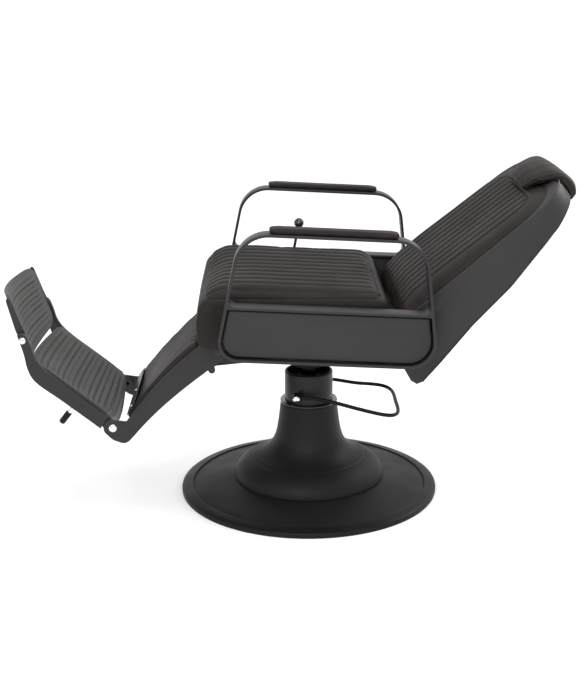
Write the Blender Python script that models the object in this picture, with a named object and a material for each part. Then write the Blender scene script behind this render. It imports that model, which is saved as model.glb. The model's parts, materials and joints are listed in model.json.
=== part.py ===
"""Hydraulic barber chair, drawn reclined with its footrest out.

Metres, +Z up. The origin is the centre of the base on the floor, the chair faces -Y, and +X is its left.
Sub-assemblies that lean are drawn flat in the axes of an empty: seat_axes follows the tilted seat,
back_axes lies along the backrest from its hinge, leg_axes, foot_axes and toe_axes run back towards the
hinge that carries them, so that what lies further out has a more negative y there.
"""

from math import atan2, cos, degrees, hypot, pi, radians, sin, sqrt

import bmesh
import bpy
from mathutils import Vector

GAP = 0.0003  # kept between pieces that touch
FIT = 0.0003  # radial play of a shaft in its hole
WIDE = 40  # sides of the base and the bell
ROUND = 24  # sides of other large turned pieces
SMALL = 12  # sides of a pin
BOLT_SIDES = 10

# Base
BASE_RADIUS = 0.350
PLATE_THICKNESS = 0.008
TRIM_WIDTH = 0.031
TRIM_HEIGHT = 0.0185
COVER_HEIGHT = 0.040
COVER_WALL = 0.003
BELL_RADIUS = 0.205
BELL_HEIGHT = 0.2110
BELL_WALL = 0.003
COLLAR_HEIGHT = 0.006

# Pump and lift
PUMP_RADIUS = 0.065
BELL_TOP_RADIUS = PUMP_RADIUS + 0.012
PUMP_WALL = 0.007
PUMP_TOP = 0.338
PUMP_FLANGE = 0.120
RAM_RADIUS = 0.022
RAM_FOOT = 0.060
GUIDE_HEIGHT = 0.022
GUIDE_RECESS = 0.020
PRESSURE_TUBE_WALL = 0.010
HUB_CLEARANCE = 0.0155

# Pedal
PEDAL_Y = -0.036
PEDAL_Z = 0.283
PEDAL_SHAFT_RADIUS = 0.006
PEDAL_REACH = 0.2735
PEDAL_HALF_WIDTH = 0.128
PEDAL_WIRE = 0.005
PEDAL_DROP = 0.039
PEDAL_HUB_RADIUS = 0.011
PEDAL_HUB_LENGTH = 0.020
PLUNGER_RADIUS = 0.005
PLUNGER_FOOT = 0.12
CRANK_THROW = 0.012

# Seat frame, in seat_axes: y runs back, z up from the underside of the side loops
SEAT_TILT = 3.03
SEAT_HEIGHT = 0.458
RAM_TOP = SEAT_HEIGHT - 0.058
LOOP_HALF_SPAN = 0.3515
BAR_WIDTH = 0.050
BAR = 0.007
LOOP_HEIGHT = 0.317
LOOP_FRONT = -0.2404
LOOP_REAR = 0.3059
POST_LEAN = 0.158
RAIL_HEIGHT = 0.1305
RAIL = 0.006
TOP_CORNER = 0.085
LOWER_FRONT_CORNER = 0.050
LOWER_REAR_CORNER = 0.065
WEB_CORNER = 0.018
PANEL_GAP = 0.003
PANEL_THICKNESS = 0.024
PANEL_INSET = 0.009
TUBE_DEPTH = 0.050
TUBE_HEIGHT = 0.025
TUBE_WALL = 0.003
FRONT_TUBE_Y = LOOP_FRONT + 1.2 * LOWER_FRONT_CORNER + TUBE_DEPTH / 2
REAR_TUBE_Y = 0.155
MOUNT_PLATE = 0.006
MOUNT_HALF_WIDTH = 0.10
ARM_PAD_LENGTH = 0.310
ARM_PAD_WIDTH = 0.046
ARM_PAD_HEIGHT = 0.0105
ARM_PAD_Y = 0.034
PAN_HALF_WIDTH = 0.270
PAN_THICKNESS = 0.012
PAN_FRONT = -0.205
PAN_REAR = 0.165
CUSHION_HALF_WIDTH = 0.284
CUSHION_TOP = 0.162
CUSHION_FRONT = -0.292
CUSHION_REAR = 0.190
PLATE = 0.006  # brackets, ears, lugs and side plates

# Recline hinge and what it drives
RECLINE_Y = 0.270
RECLINE_Z = SEAT_HEIGHT + 0.072
RECLINE_ANGLE = 39.8
RECLINE_SHAFT = 0.008
EAR_X = 0.2893
TORQUE_TUBE = 0.014
DRIVE_ARM = 0.055
DRIVE_ANGLE = -109.0
DRIVE_LUG_X = 0.110
DRIVE_PIN = 0.006
LINK_HEIGHT = 0.016
LINK_EYE = 0.011
LINK_EYE_PLAY = 0.0005
LINK_X = 0.1165
LINK_CRANK_Y = 0.215
LINK_CRANK_Z = SEAT_HEIGHT - 0.017
GAS_ARM = 0.090
GAS_LUG_X = -0.126
GAS_X = -0.145
GAS_ANCHOR_Y = -0.170
GAS_ANCHOR_Z = SEAT_HEIGHT - 0.058
GAS_PIN = 0.005
GAS_TUBE = 0.011
GAS_TUBE_LENGTH = 0.235
GAS_ROD = 0.005
GAS_ROD_START = 0.10
GAS_EYE_PLAY = 0.006

# Backrest, in back_axes: y runs up the back, z towards the sitter
BACK_HALF_WIDTH = 0.280
BACK_TOP = 0.478
BACK_SHOULDER = 0.130
SEAM = 0.0446
SIDE_WALL = 0.018
BACK_WALL = 0.014
SLOT_HALF_WIDTH = 0.035
TONGUE_HALF_WIDTH = 0.030
TONGUE = 0.005
TONGUE_PLAY = 0.0015
TONGUE_FOOT = 0.340
HEADREST_HALF_WIDTH = 0.180
HEADREST_TOP = 0.515
HEADREST_CORNER = 0.060

# Legrest, in leg_axes
LEG_Y = -0.235
LEG_Z = SEAT_HEIGHT - 0.010
LEG_LENGTH = 0.3414
LEG_ANGLE = 36.42
LEG_X = 0.184
LEG_PIN = 0.007
LEG_EAR = 0.013
LEG_EAR_X = 0.1765
CALF_HALF_WIDTH = 0.1815
CALF_TOP_END = 0.035
CALF_LOW_END = LEG_LENGTH - 0.0434
CALF_THICKNESS = 0.030

# Footrest, in foot_axes, and toe flap, in toe_axes
FOOT_ANGLE = -38.4
FOOT_X = 0.1765
CLEVIS = 0.0245
FOOT_BOLT = 0.005
FOOT_PAD_START = 0.012
FOOT_PAD_END = 0.250
FOOT_PAD_EDGE = 0.026
FOOT_PAD_SAG = 0.038
FOOT_PAD_THICKNESS = 0.012
TOE_S = 0.3157
TOE_N = 0.0513
TOE_ANGLE = -33.8
TOE_START = -0.055
TOE_END = 0.114
TOE_PAD_SAG = 0.032
TOE_PAD_EDGE = 0.010
TOE_PAD_THICKNESS = 0.010
TOE_ARM_X = 0.1695
TOE_BOLT = 0.004
PEG_X = 0.100
PEG_S = 0.105
PEG_RADIUS = 0.006
PEG_TIP_RADIUS = 0.0085
PEG_ROD_END = -0.078
PEG_END = -0.102

# Release lever, in seat_axes
LEVER_X = -0.2925
LEVER_Y = -0.052
LEVER_Z = 0.060
LEVER_ROD = 0.004
LEVER_TOP_Y = -0.0295
LEVER_TOP_Z = 0.2225
KNOB_RADIUS = 0.0145
LEVER_PIN = 0.004
LEVER_BOSS = 0.009

for leftover in list(bpy.data.objects):
    bpy.data.objects.remove(leftover)

MATERIALS = {}


def finish(name, colour, roughness, metallic):
    material = bpy.data.materials.new(name)
    material.use_nodes = True
    shader = material.node_tree.nodes["Principled BSDF"]
    shader.inputs["Base Color"].default_value = (*colour, 1)
    shader.inputs["Roughness"].default_value = roughness
    shader.inputs["Metallic"].default_value = metallic
    MATERIALS[name] = material


finish("powder_coat", (0.07, 0.07, 0.08), 0.5, 0.3)
finish("base_black", (0.015, 0.015, 0.016), 0.6, 0.0)
finish("gloss_black", (0.01, 0.01, 0.01), 0.15, 0.0)
finish("vinyl", (0.06, 0.055, 0.05), 0.5, 0.0)
finish("side_vinyl", (0.075, 0.073, 0.076), 0.5, 0.0)
finish("foot_rubber", (0.09, 0.09, 0.088), 0.75, 0.0)
finish("chrome", (0.8, 0.8, 0.8), 0.12, 1.0)
finish("steel", (0.45, 0.45, 0.45), 0.4, 0.9)
finish("plywood", (0.4, 0.28, 0.16), 0.65, 0.0)


# ---- shapes ---------------------------------------------------------------------------------------


def axes(name, y, z, angle, parent=None):
    """An empty at (y, z), turned by angle degrees about X."""
    empty = bpy.data.objects.new(name, None)
    bpy.context.scene.collection.objects.link(empty)
    empty.parent = parent
    empty.location = (0, y, z)
    empty.rotation_euler = (radians(angle), 0, 0)
    return empty


def place(name, data, material, parent=None):
    obj = bpy.data.objects.new(name, data)
    bpy.context.scene.collection.objects.link(obj)
    obj.parent = parent
    if material:
        data.materials.append(MATERIALS[material])
    return obj


def flat(name, outline, low, high, material, parent=None, holes=()):
    """A plate: the outline, less its holes, filled and extruded along the object's own Z."""
    curve = bpy.data.curves.new(name, "CURVE")
    curve.dimensions = "2D"
    curve.fill_mode = "BOTH"
    curve.extrude = (high - low) / 2
    for loop in (outline, *holes):
        spline = curve.splines.new("POLY")
        spline.points.add(len(loop) - 1)
        for point, (a, b) in zip(spline.points, loop):
            point.co = (a, b, 0, 1)
        spline.use_cyclic_u = True
    return place(name, curve, material, parent)


def side_plate(name, outline, x_low, x_high, material, parent=None, holes=()):
    """A plate seen from the side: the outline is in (y, z), and the plate runs from x_low to x_high."""
    obj = flat(name, outline, x_low, x_high, material, parent, holes)
    obj.rotation_euler = (pi / 2, 0, pi / 2)
    obj.location.x = (x_low + x_high) / 2
    return obj


def level_plate(name, outline, z_low, z_high, material, parent=None, holes=()):
    """A plate seen from above: the outline is in (x, y), and the plate runs from z_low to z_high."""
    obj = flat(name, outline, z_low, z_high, material, parent, holes)
    obj.location.z = (z_low + z_high) / 2
    return obj


def turned(name, profile, material, parent=None, sides=ROUND):
    """Turns a closed (radius, z) outline about Z. The outline runs up its outer side."""
    mesh = bmesh.new()
    rings = []
    for radius, z in profile:
        turns = [2 * pi * i / sides for i in range(sides)] if radius else [0]
        rings.append([mesh.verts.new((radius * cos(t), radius * sin(t), z)) for t in turns])
    for low, high in zip(rings, rings[1:] + rings[:1]):
        for i in range(sides):
            corners = [low[i % len(low)], low[(i + 1) % len(low)]]
            corners += [high[(i + 1) % len(high)], high[i % len(high)]]
            distinct = list(dict.fromkeys(corners))
            if len(distinct) > 2:
                mesh.faces.new(distinct)
    bmesh.ops.recalc_face_normals(mesh, faces=mesh.faces)
    data = bpy.data.meshes.new(name)
    mesh.to_mesh(data)
    mesh.free()
    data.shade_smooth()
    data.set_sharp_from_angle(angle=radians(35))
    return place(name, data, material, parent)


def rod(name, x_low, x_high, y, z, radius, material, parent=None, sides=SMALL):
    """A round bar along X."""
    obj = turned(name, [(0, x_low), (radius, x_low), (radius, x_high), (0, x_high)], material, parent, sides)
    obj.rotation_euler = (0, pi / 2, 0)
    obj.location = (0, y, z)
    return obj


def cross_bore(name, side, inner, outer, y, z, radius, parent=None, sides=SMALL):
    """A cutter along X, on one side of the chair, whose flats clear a shaft of this radius."""
    return rod(name, *span(side, inner, outer), y, z, (radius + FIT) / cos(pi / sides), None, parent, sides)


def helper(obj):
    obj.hide_render = True
    obj.display_type = "WIRE"
    return obj


def as_mesh(obj):
    """Makes a curve object a mesh object, in place."""
    bpy.context.view_layer.update()
    graph = bpy.context.evaluated_depsgraph_get()
    data = bpy.data.meshes.new_from_object(obj.evaluated_get(graph))
    mesh = bmesh.new()
    mesh.from_mesh(data)
    bmesh.ops.remove_doubles(mesh, verts=mesh.verts, dist=1e-6)
    bmesh.ops.recalc_face_normals(mesh, faces=mesh.faces)
    mesh.to_mesh(data)
    mesh.free()
    name, parent = obj.name, obj.parent
    location, rotation = obj.location.copy(), obj.rotation_euler.copy()
    bpy.data.objects.remove(obj)
    solid = place(name, data, None, parent)
    solid.location, solid.rotation_euler = location, rotation
    return solid


def combine(obj, others, operation):
    """A Boolean of obj with each of the others, which become hidden helpers."""
    if obj.type != "MESH":
        obj = as_mesh(obj)
    for other in others:
        other = helper(as_mesh(other) if other.type != "MESH" else other)
        modifier = obj.modifiers.new(operation.lower(), "BOOLEAN")
        modifier.operation = operation
        modifier.object = other
    return obj


def hole(y, z, radius, sides=SMALL):
    """The outline of a hole whose flats clear a shaft of this radius."""
    return circle(y, z, (radius + FIT) / cos(pi / sides), sides)


def circle(y, z, radius, sides=SMALL):
    return [(y + radius * cos(2 * pi * i / sides), z + radius * sin(2 * pi * i / sides)) for i in range(sides)]


def rounded(corners, steps=5):
    """An outline from (a, b, radius) corners, each rounded by an arc of its radius."""
    outline = []
    for before, (a, b, radius), after in zip(corners[-1:] + corners[:-1], corners, corners[1:] + corners[:1]):
        corner = Vector((a, b))
        if not radius:
            outline.append((a, b))
            continue
        into = (Vector(before[:2]) - corner).normalized()
        out = (Vector(after[:2]) - corner).normalized()
        half = into.angle(out) / 2
        centre = corner + (into + out).normalized() * radius / sin(half)
        start = corner + into * radius * cos(half) / sin(half) - centre
        end = corner + out * radius * cos(half) / sin(half) - centre
        sweep = start.angle_signed(end)
        for i in range(steps + 1):
            turn = -sweep * i / steps
            x, y = start
            spot = centre + Vector((x * cos(turn) - y * sin(turn), x * sin(turn) + y * cos(turn)))
            outline.append(tuple(spot))
    return outline


def oblong(half_width, front, rear, radius):
    """A level plate's outline with rounded corners."""
    corners = ((-half_width, front), (half_width, front), (half_width, rear), (-half_width, rear))
    return rounded([(*corner, radius) for corner in corners], 2)


def strap(first, first_radius, second, second_radius, steps=6):
    """The outline of a lug: two discs and the straight sides between them."""
    (ay, az), (by, bz) = first, second
    heading = atan2(bz - az, by - ay)
    taper = first_radius - second_radius
    lean = atan2(sqrt(hypot(by - ay, bz - az) ** 2 - taper**2), taper)
    outline = []
    for (y, z), radius, start, sweep in (
        (first, first_radius, heading + lean, 2 * (pi - lean)),
        (second, second_radius, heading - lean, 2 * lean),
    ):
        for i in range(steps + 1):
            turn = start + sweep * i / steps
            outline.append((y + radius * cos(turn), z + radius * sin(turn)))
    return outline


def ribbon(points, half_height):
    """The outline of a bent flat bar of even height along a line of points."""
    above, below = [], []
    for i, point in enumerate(points):
        spot = Vector(point)
        before = (spot - Vector(points[i - 1])).normalized() if i else None
        after = (Vector(points[i + 1]) - spot).normalized() if i + 1 < len(points) else None
        along = ((before or after) + (after or before)).normalized()
        normal = Vector((-along.y, along.x))
        reach = half_height / along.dot(after or before)
        above.append(tuple(spot + normal * reach))
        below.append(tuple(spot - normal * reach))
    return above + below[::-1]


def smooth_line(points, steps):
    """Points on a smooth curve through the given ones."""
    spots = [Vector(p) for p in points]
    spots = [2 * spots[0] - spots[1], *spots, 2 * spots[-1] - spots[-2]]
    line = []
    for a, b, c, d in zip(spots, spots[1:], spots[2:], spots[3:]):
        for i in range(steps):
            t = i / steps
            bend = (2 * a - 5 * b + 4 * c - d) * t**2 + (3 * b - a - 3 * c + d) * t**3
            line.append((2 * b + (c - a) * t + bend) / 2)
    return line + [spots[-2]]


def to_seat(y, z):
    """A world (y, z) in seat_axes."""
    tilt = radians(-SEAT_TILT)
    dy, dz = y, z - SEAT_HEIGHT
    return dy * cos(tilt) + dz * sin(tilt), -dy * sin(tilt) + dz * cos(tilt)


def to_world(along, off, y, z, angle):
    """The world (y, z) of a point in axes that stand at (y, z) and are turned by angle degrees."""
    turn = radians(angle)
    return y + along * cos(turn) - off * sin(turn), z + along * sin(turn) + off * cos(turn)


def both_sides(make, *names):
    """Calls make(name, side) for the left, which is +X, and the right."""
    return [make(name, side) for name, side in zip(names, (1, -1))]


def span(side, inner, outer):
    """The x range of a piece between two distances from the middle, on one side of the chair."""
    return tuple(sorted((side * inner, side * outer)))


# ---- base -----------------------------------------------------------------------------------------


def make_base():
    plate_radius = BASE_RADIUS - TRIM_WIDTH / 2
    disc = [(0, 0), (plate_radius, 0), (plate_radius, PLATE_THICKNESS), (0, PLATE_THICKNESS)]
    turned("base_plate", disc, "steel", sides=WIDE)
    inner = BASE_RADIUS - TRIM_WIDTH
    shoulder = plate_radius + GAP
    turned(
        "rim_trim",
        [
            (shoulder, 0),
            (BASE_RADIUS, 0),
            (BASE_RADIUS, TRIM_HEIGHT * 0.6),
            (BASE_RADIUS - 0.004, TRIM_HEIGHT * 0.75),
            (inner + 0.0015, TRIM_HEIGHT),
            (inner, TRIM_HEIGHT - 0.003),
            (shoulder, PLATE_THICKNESS + 0.004),
        ],
        "base_black",
        sides=WIDE,
    )
    edge = inner - GAP
    foot = PLATE_THICKNESS + GAP
    flat_radius = BELL_RADIUS - 0.012
    turned(
        "base_cover",
        [
            (flat_radius - 0.050, COVER_HEIGHT - GAP - COVER_WALL),
            (flat_radius, COVER_HEIGHT - GAP - COVER_WALL),
            (edge - COVER_WALL, foot),
            (edge, foot),
            (edge, TRIM_HEIGHT - 0.0045),
            (flat_radius, COVER_HEIGHT - GAP),
            (flat_radius - 0.050, COVER_HEIGHT - GAP),
        ],
        "base_black",
        sides=WIDE,
    )


def make_bell():
    top = COVER_HEIGHT + BELL_HEIGHT
    fall = BELL_RADIUS - BELL_TOP_RADIUS
    # Each pair is (how far out, how far up) as shares of the flare and of the height
    shares = [(1, 0), (1, 0.024), (0.848, 0.175), (0.578, 0.275), (0.297, 0.37)]
    shares += [(0.152, 0.47), (0.078, 0.6), (0.042, 0.72), (0, 1)]
    outer = [(BELL_TOP_RADIUS + out * fall, COVER_HEIGHT + up * BELL_HEIGHT) for out, up in shares]
    inner = [(radius - BELL_WALL * 1.3, z) for radius, z in outer]
    turned("bell_cover", outer + inner[::-1], "base_black", sides=WIDE)
    collar = BELL_TOP_RADIUS + 0.0005
    turned(
        "bell_collar",
        [
            (PUMP_RADIUS + GAP, top + GAP),
            (collar, top + GAP),
            (collar, top + COLLAR_HEIGHT * 0.7),
            (collar - 0.002, top + COLLAR_HEIGHT),
            (PUMP_RADIUS + GAP, top + COLLAR_HEIGHT),
        ],
        "gloss_black",
    )


def make_pump():
    foot = PLATE_THICKNESS + GAP
    bore = PUMP_RADIUS - PUMP_WALL
    housing = turned(
        "pump_housing",
        [
            (bore, foot),
            (PUMP_FLANGE, foot),
            (PUMP_FLANGE, foot + 0.013),
            (PUMP_RADIUS, foot + 0.022),
            (PUMP_RADIUS, PUMP_TOP - 0.002),
            (PUMP_RADIUS - 0.002, PUMP_TOP),
            (bore, PUMP_TOP),
        ],
        "base_black",
    )
    reach = PUMP_RADIUS + 0.01
    combine(housing, [cross_bore("pedal_bore", 1, -reach, reach, PEDAL_Y, PEDAL_Z, PEDAL_SHAFT_RADIUS)], "DIFFERENCE")
    inside = RAM_RADIUS + FIT
    low_end = PEDAL_Z - PEDAL_SHAFT_RADIUS - 0.015
    outside = inside + PRESSURE_TUBE_WALL
    profile = [(inside, foot), (outside, foot), (outside, low_end), (inside, low_end)]
    turned("pressure_tube", profile, "steel", sides=SMALL * 2)
    guide_top = PUMP_TOP - GUIDE_RECESS
    edge = bore - GAP
    turned(
        "ram_guide",
        [
            (inside, guide_top - GUIDE_HEIGHT),
            (edge, guide_top - GUIDE_HEIGHT),
            (edge, guide_top),
            (inside + 0.006, guide_top),
            (inside + 0.003, guide_top + 0.004),
            (inside, guide_top + 0.004),
        ],
        "base_black",
    )
    turned("ram", [(0, RAM_FOOT), (RAM_RADIUS, RAM_FOOT), (RAM_RADIUS, RAM_TOP), (0, RAM_TOP)], "chrome")
    plunger_y = PEDAL_Y - CRANK_THROW
    top = PEDAL_Z - PEDAL_SHAFT_RADIUS + 0.002 - GAP
    profile = [(0, PLUNGER_FOOT), (PLUNGER_RADIUS, PLUNGER_FOOT), (PLUNGER_RADIUS, top), (0, top)]
    plunger = turned("pump_plunger", profile, "steel", sides=SMALL)
    plunger.location.y = plunger_y


def make_pedal():
    hub_start = PUMP_RADIUS + 0.005
    hub_end = hub_start + PEDAL_HUB_LENGTH
    shaft = rod("pedal_shaft", -hub_end - 0.002, hub_end + 0.002, PEDAL_Y, PEDAL_Z, PEDAL_SHAFT_RADIUS, "chrome")
    low = PEDAL_Z - PEDAL_SHAFT_RADIUS + 0.002
    tip = PEDAL_Y - CRANK_THROW - 0.004
    crank = side_plate(
        "crank", [(tip, low), (PEDAL_Y, low), (PEDAL_Y, PEDAL_Z + 0.004), (tip, PEDAL_Z + 0.001)], -PLATE, PLATE, None
    )
    combine(shaft, [crank], "UNION")
    middle = (hub_start + hub_end) / 2
    end_y, end_z = PEDAL_Y + PEDAL_REACH, PEDAL_Z - PEDAL_DROP
    # Shares of the reach, the width beyond the hubs and the drop, from the hub round to the middle of the end
    route = [(0.02, 0, -0.06), (0.2, 0.15, 0.03), (0.39, 0.46, 0.21), (0.62, 0.70, 0.58), (0.80, 0.96, 0.80)]
    route += [(0.91, 0.93, 0.92), (0.975, 0.50, 0.98), (1, -0.3, 1)]
    left = [
        (middle + out * (PEDAL_HALF_WIDTH - middle), PEDAL_Y + along * PEDAL_REACH, PEDAL_Z - down * PEDAL_DROP)
        for along, out, down in route
    ]
    right = [(-x, y, z) for x, y, z in left[::-1]]
    curve = bpy.data.curves.new("pedal_loop", "CURVE")
    curve.dimensions = "3D"
    curve.bevel_depth = PEDAL_WIRE
    curve.bevel_resolution = 1
    curve.use_fill_caps = True
    spline = curve.splines.new("POLY")
    line = smooth_line(left + [(0, end_y, end_z)] + right, 3)
    spline.points.add(len(line) - 1)
    for point, spot in zip(spline.points, line):
        point.co = (*spot, 1)
    loop = as_mesh(place("pedal_loop", curve, "base_black"))
    loop.data.materials.clear()
    loop.data.materials.append(MATERIALS["base_black"])
    hubs = [
        rod(f"pedal_hub_{side}", *span(side, hub_start, hub_end), PEDAL_Y, PEDAL_Z, PEDAL_HUB_RADIUS, None)
        for side in (1, -1)
    ]
    combine(loop, hubs, "UNION")
    reach = hub_end + 0.01
    combine(loop, [cross_bore("pedal_hub_bore", 1, -reach, reach, PEDAL_Y, PEDAL_Z, PEDAL_SHAFT_RADIUS)], "DIFFERENCE")


# ---- seat frame -----------------------------------------------------------------------------------


def post_front(height, inset=0.0):
    return LOOP_FRONT + POST_LEAN * height + inset * sqrt(1 + POST_LEAN**2)


def post_rear(height, inset=0.0):
    return LOOP_REAR - POST_LEAN * height - inset * sqrt(1 + POST_LEAN**2)


def window(low, high, inset, corners):
    """The outline between the posts from low to high; corners are the radii from front low, round to front high."""
    a, b, c, d = corners
    return rounded(
        [
            (post_front(low, inset), low, a),
            (post_rear(low, inset), low, b),
            (post_rear(high, inset), high, c),
            (post_front(high, inset), high, d),
        ]
    )


def make_side_loop(name, side):
    side_plate(
        name,
        window(0, LOOP_HEIGHT, 0, (LOWER_FRONT_CORNER, LOWER_REAR_CORNER, TOP_CORNER, TOP_CORNER)),
        *span(side, LOOP_HALF_SPAN - BAR_WIDTH, LOOP_HALF_SPAN),
        "powder_coat",
        seat_axes,
        [
            window(BAR, RAIL_HEIGHT, BAR, (LOWER_FRONT_CORNER - BAR, LOWER_REAR_CORNER - BAR, 0, 0)),
            window(
                RAIL_HEIGHT + RAIL, LOOP_HEIGHT - BAR, BAR, (WEB_CORNER, WEB_CORNER, TOP_CORNER - BAR, TOP_CORNER - BAR)
            ),
        ],
    )


def make_side_panel(name, side):
    inset = BAR + PANEL_GAP
    corners = (LOWER_FRONT_CORNER - inset, LOWER_REAR_CORNER - inset, 0, 0)
    outer = LOOP_HALF_SPAN - PANEL_INSET
    outline = window(inset, RAIL_HEIGHT - PANEL_GAP, inset, corners)
    side_plate(name, outline, *span(side, outer - PANEL_THICKNESS, outer), "side_vinyl", seat_axes)


def make_arm_pad(name, side):
    middle = side * (LOOP_HALF_SPAN - BAR_WIDTH / 2)
    half, length = ARM_PAD_WIDTH / 2, ARM_PAD_LENGTH / 2
    ends = half * 0.6
    outline = rounded(
        [
            (middle - half, ARM_PAD_Y - length, ends),
            (middle + half, ARM_PAD_Y - length, ends),
            (middle + half, ARM_PAD_Y + length, ends),
            (middle - half, ARM_PAD_Y + length, ends),
        ],
        3,
    )
    low = LOOP_HEIGHT + GAP
    level_plate(name, outline, low, low + ARM_PAD_HEIGHT, "vinyl", seat_axes)


def make_cross_tube(name, y):
    low = BAR + GAP
    outer = [(y - TUBE_DEPTH / 2, low), (y + TUBE_DEPTH / 2, low)]
    outer += [(y + TUBE_DEPTH / 2, low + TUBE_HEIGHT), (y - TUBE_DEPTH / 2, low + TUBE_HEIGHT)]
    depth_share = 1 - 2 * TUBE_WALL / TUBE_DEPTH
    height_share = 1 - 2 * TUBE_WALL / TUBE_HEIGHT
    inner = [(y + (a - y) * depth_share, low + TUBE_WALL + (b - low) * height_share) for a, b in outer]
    reach = LOOP_HALF_SPAN - PANEL_INSET - PANEL_THICKNESS - 0.004
    side_plate(name, outer, -reach, reach, "powder_coat", seat_axes, [inner])


def make_seat():
    low = BAR - MOUNT_PLATE
    level_plate(
        "seat_plate",
        oblong(MOUNT_HALF_WIDTH, FRONT_TUBE_Y - 0.02, REAR_TUBE_Y + 0.02, 0.01),
        low,
        BAR,
        "powder_coat",
        seat_axes,
    )
    deck = BAR + 2 * GAP + TUBE_HEIGHT
    level_plate(
        "seat_pan",
        oblong(PAN_HALF_WIDTH, PAN_FRONT, PAN_REAR, 0.02),
        deck,
        deck + PAN_THICKNESS,
        "plywood",
        seat_axes,
    )
    foot = deck + PAN_THICKNESS + GAP
    lip = PAN_FRONT - 0.007
    front, top, rear = CUSHION_FRONT, CUSHION_TOP, CUSHION_REAR
    side_plate(
        "seat_cushion",
        [
            (front + 0.007, 0.011),
            (lip, 0.008),
            (lip, foot),
            (rear - 0.012, foot),
            (rear, top * 0.55),
            (rear - 0.003, top - 0.027),
            (rear - 0.018, top - 0.009),
            (rear - 0.040, top),
            (front + 0.140, top),
            (front + 0.057, top - 0.004),
            (front + 0.024, top - 0.020),
            (front + 0.004, top - 0.052),
            (front, top - 0.100),
        ],
        -CUSHION_HALF_WIDTH,
        CUSHION_HALF_WIDTH,
        "vinyl",
        seat_axes,
    )


def make_hub():
    foot = PUMP_TOP + HUB_CLEARANCE
    bore = RAM_RADIUS + FIT
    top = SEAT_HEIGHT
    hub = turned(
        "swivel_hub",
        [
            (bore, foot),
            (0.045, foot),
            (0.048, foot + 0.007),
            (0.055, foot + 0.047),
            (0.085, foot + 0.085),
            (0.085, top),
            (0, top),
            (0, RAM_TOP + GAP),
            (bore, RAM_TOP + GAP),
        ],
        "base_black",
    )
    # The top face follows the underside of the tilted seat plate
    lean = sin(radians(SEAT_TILT)) / cos(radians(SEAT_TILT))
    for vertex in hub.data.vertices:
        if vertex.co.z > top - 1e-6:
            vertex.co.z = SEAT_HEIGHT + (BAR - MOUNT_PLATE - GAP) / cos(radians(SEAT_TILT)) - lean * vertex.co.y


def make_lever():
    bracket_x = -(LOOP_HALF_SPAN - PANEL_INSET - PANEL_THICKNESS - 0.002)
    bracket = side_plate(
        "lever_bracket",
        rounded(
            [
                (LEVER_Y - 0.022, BAR + GAP, 0),
                (LEVER_Y + 0.022, BAR + GAP, 0),
                (LEVER_Y + 0.012, LEVER_Z + 0.012, 0.006),
                (LEVER_Y - 0.012, LEVER_Z + 0.012, 0.006),
            ],
            3,
        ),
        bracket_x,
        bracket_x + PLATE,
        "powder_coat",
        seat_axes,
    )
    half = LEVER_ROD + 0.001
    pin = rod("lever_pin", bracket_x + 0.002, LEVER_X + half, LEVER_Y, LEVER_Z, LEVER_PIN, None, seat_axes)
    bracket = combine(bracket, [pin], "UNION")
    bracket.data.materials.append(MATERIALS["powder_coat"])
    boss = side_plate(
        "lever_rod",
        circle(LEVER_Y, LEVER_Z, LEVER_BOSS),
        LEVER_X - half,
        LEVER_X + half,
        "base_black",
        seat_axes,
        [hole(LEVER_Y, LEVER_Z, LEVER_PIN)],
    )
    rise = Vector((LEVER_TOP_Y - LEVER_Y, LEVER_TOP_Z - LEVER_Z))
    start = LEVER_PIN + 0.0035
    end = rise.length - KNOB_RADIUS * 0.6
    stem = turned("lever_stem", [(0, start), (LEVER_ROD, start), (LEVER_ROD, end), (0, end)], None, seat_axes, 8)
    lean = (-atan2(rise.x, rise.y), 0, 0)
    stem.location = (LEVER_X, LEVER_Y, LEVER_Z)
    stem.rotation_euler = lean
    combine(boss, [stem], "UNION").data.materials.append(MATERIALS["base_black"])
    steps = 6
    centre = rise.length
    dome = [
        (KNOB_RADIUS * sin(pi * i / steps), centre - KNOB_RADIUS * cos(pi * i / steps)) for i in range(1, steps)
    ]
    socket = end + GAP
    opening = LEVER_ROD + GAP
    depth = centre - sqrt(KNOB_RADIUS**2 - opening**2)
    profile = [(opening, depth)] + [p for p in dome if p[1] > depth and p[0] > opening]
    profile += [(0, centre + KNOB_RADIUS), (0, socket), (opening, socket)]
    knob = turned("lever_knob", profile, "gloss_black", seat_axes, SMALL)
    knob.location = (LEVER_X, LEVER_Y, LEVER_Z)
    knob.rotation_euler = lean


# ---- recline hinge, links and gas spring ----------------------------------------------------------


def lug_spot(arm):
    """Where a lug of this length stands when the chair is reclined, from the recline hinge."""
    turn = radians(DRIVE_ANGLE)
    return RECLINE_Y + arm * cos(turn), RECLINE_Z + arm * sin(turn)


def make_recline_ear(name, side):
    hinge = to_seat(RECLINE_Y, RECLINE_Z)
    low = BAR + 2 * GAP + TUBE_HEIGHT
    outline = [(REAR_TUBE_Y - 0.02, low), (REAR_TUBE_Y + 0.02, low)]
    outline += [(hinge[0] + 0.016 * cos(radians(a)), hinge[1] + 0.016 * sin(radians(a))) for a in range(-50, 131, 20)]
    side_plate(
        name, outline, *span(side, EAR_X, EAR_X + PLATE), "powder_coat", seat_axes, [hole(*hinge, RECLINE_SHAFT)]
    )


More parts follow.
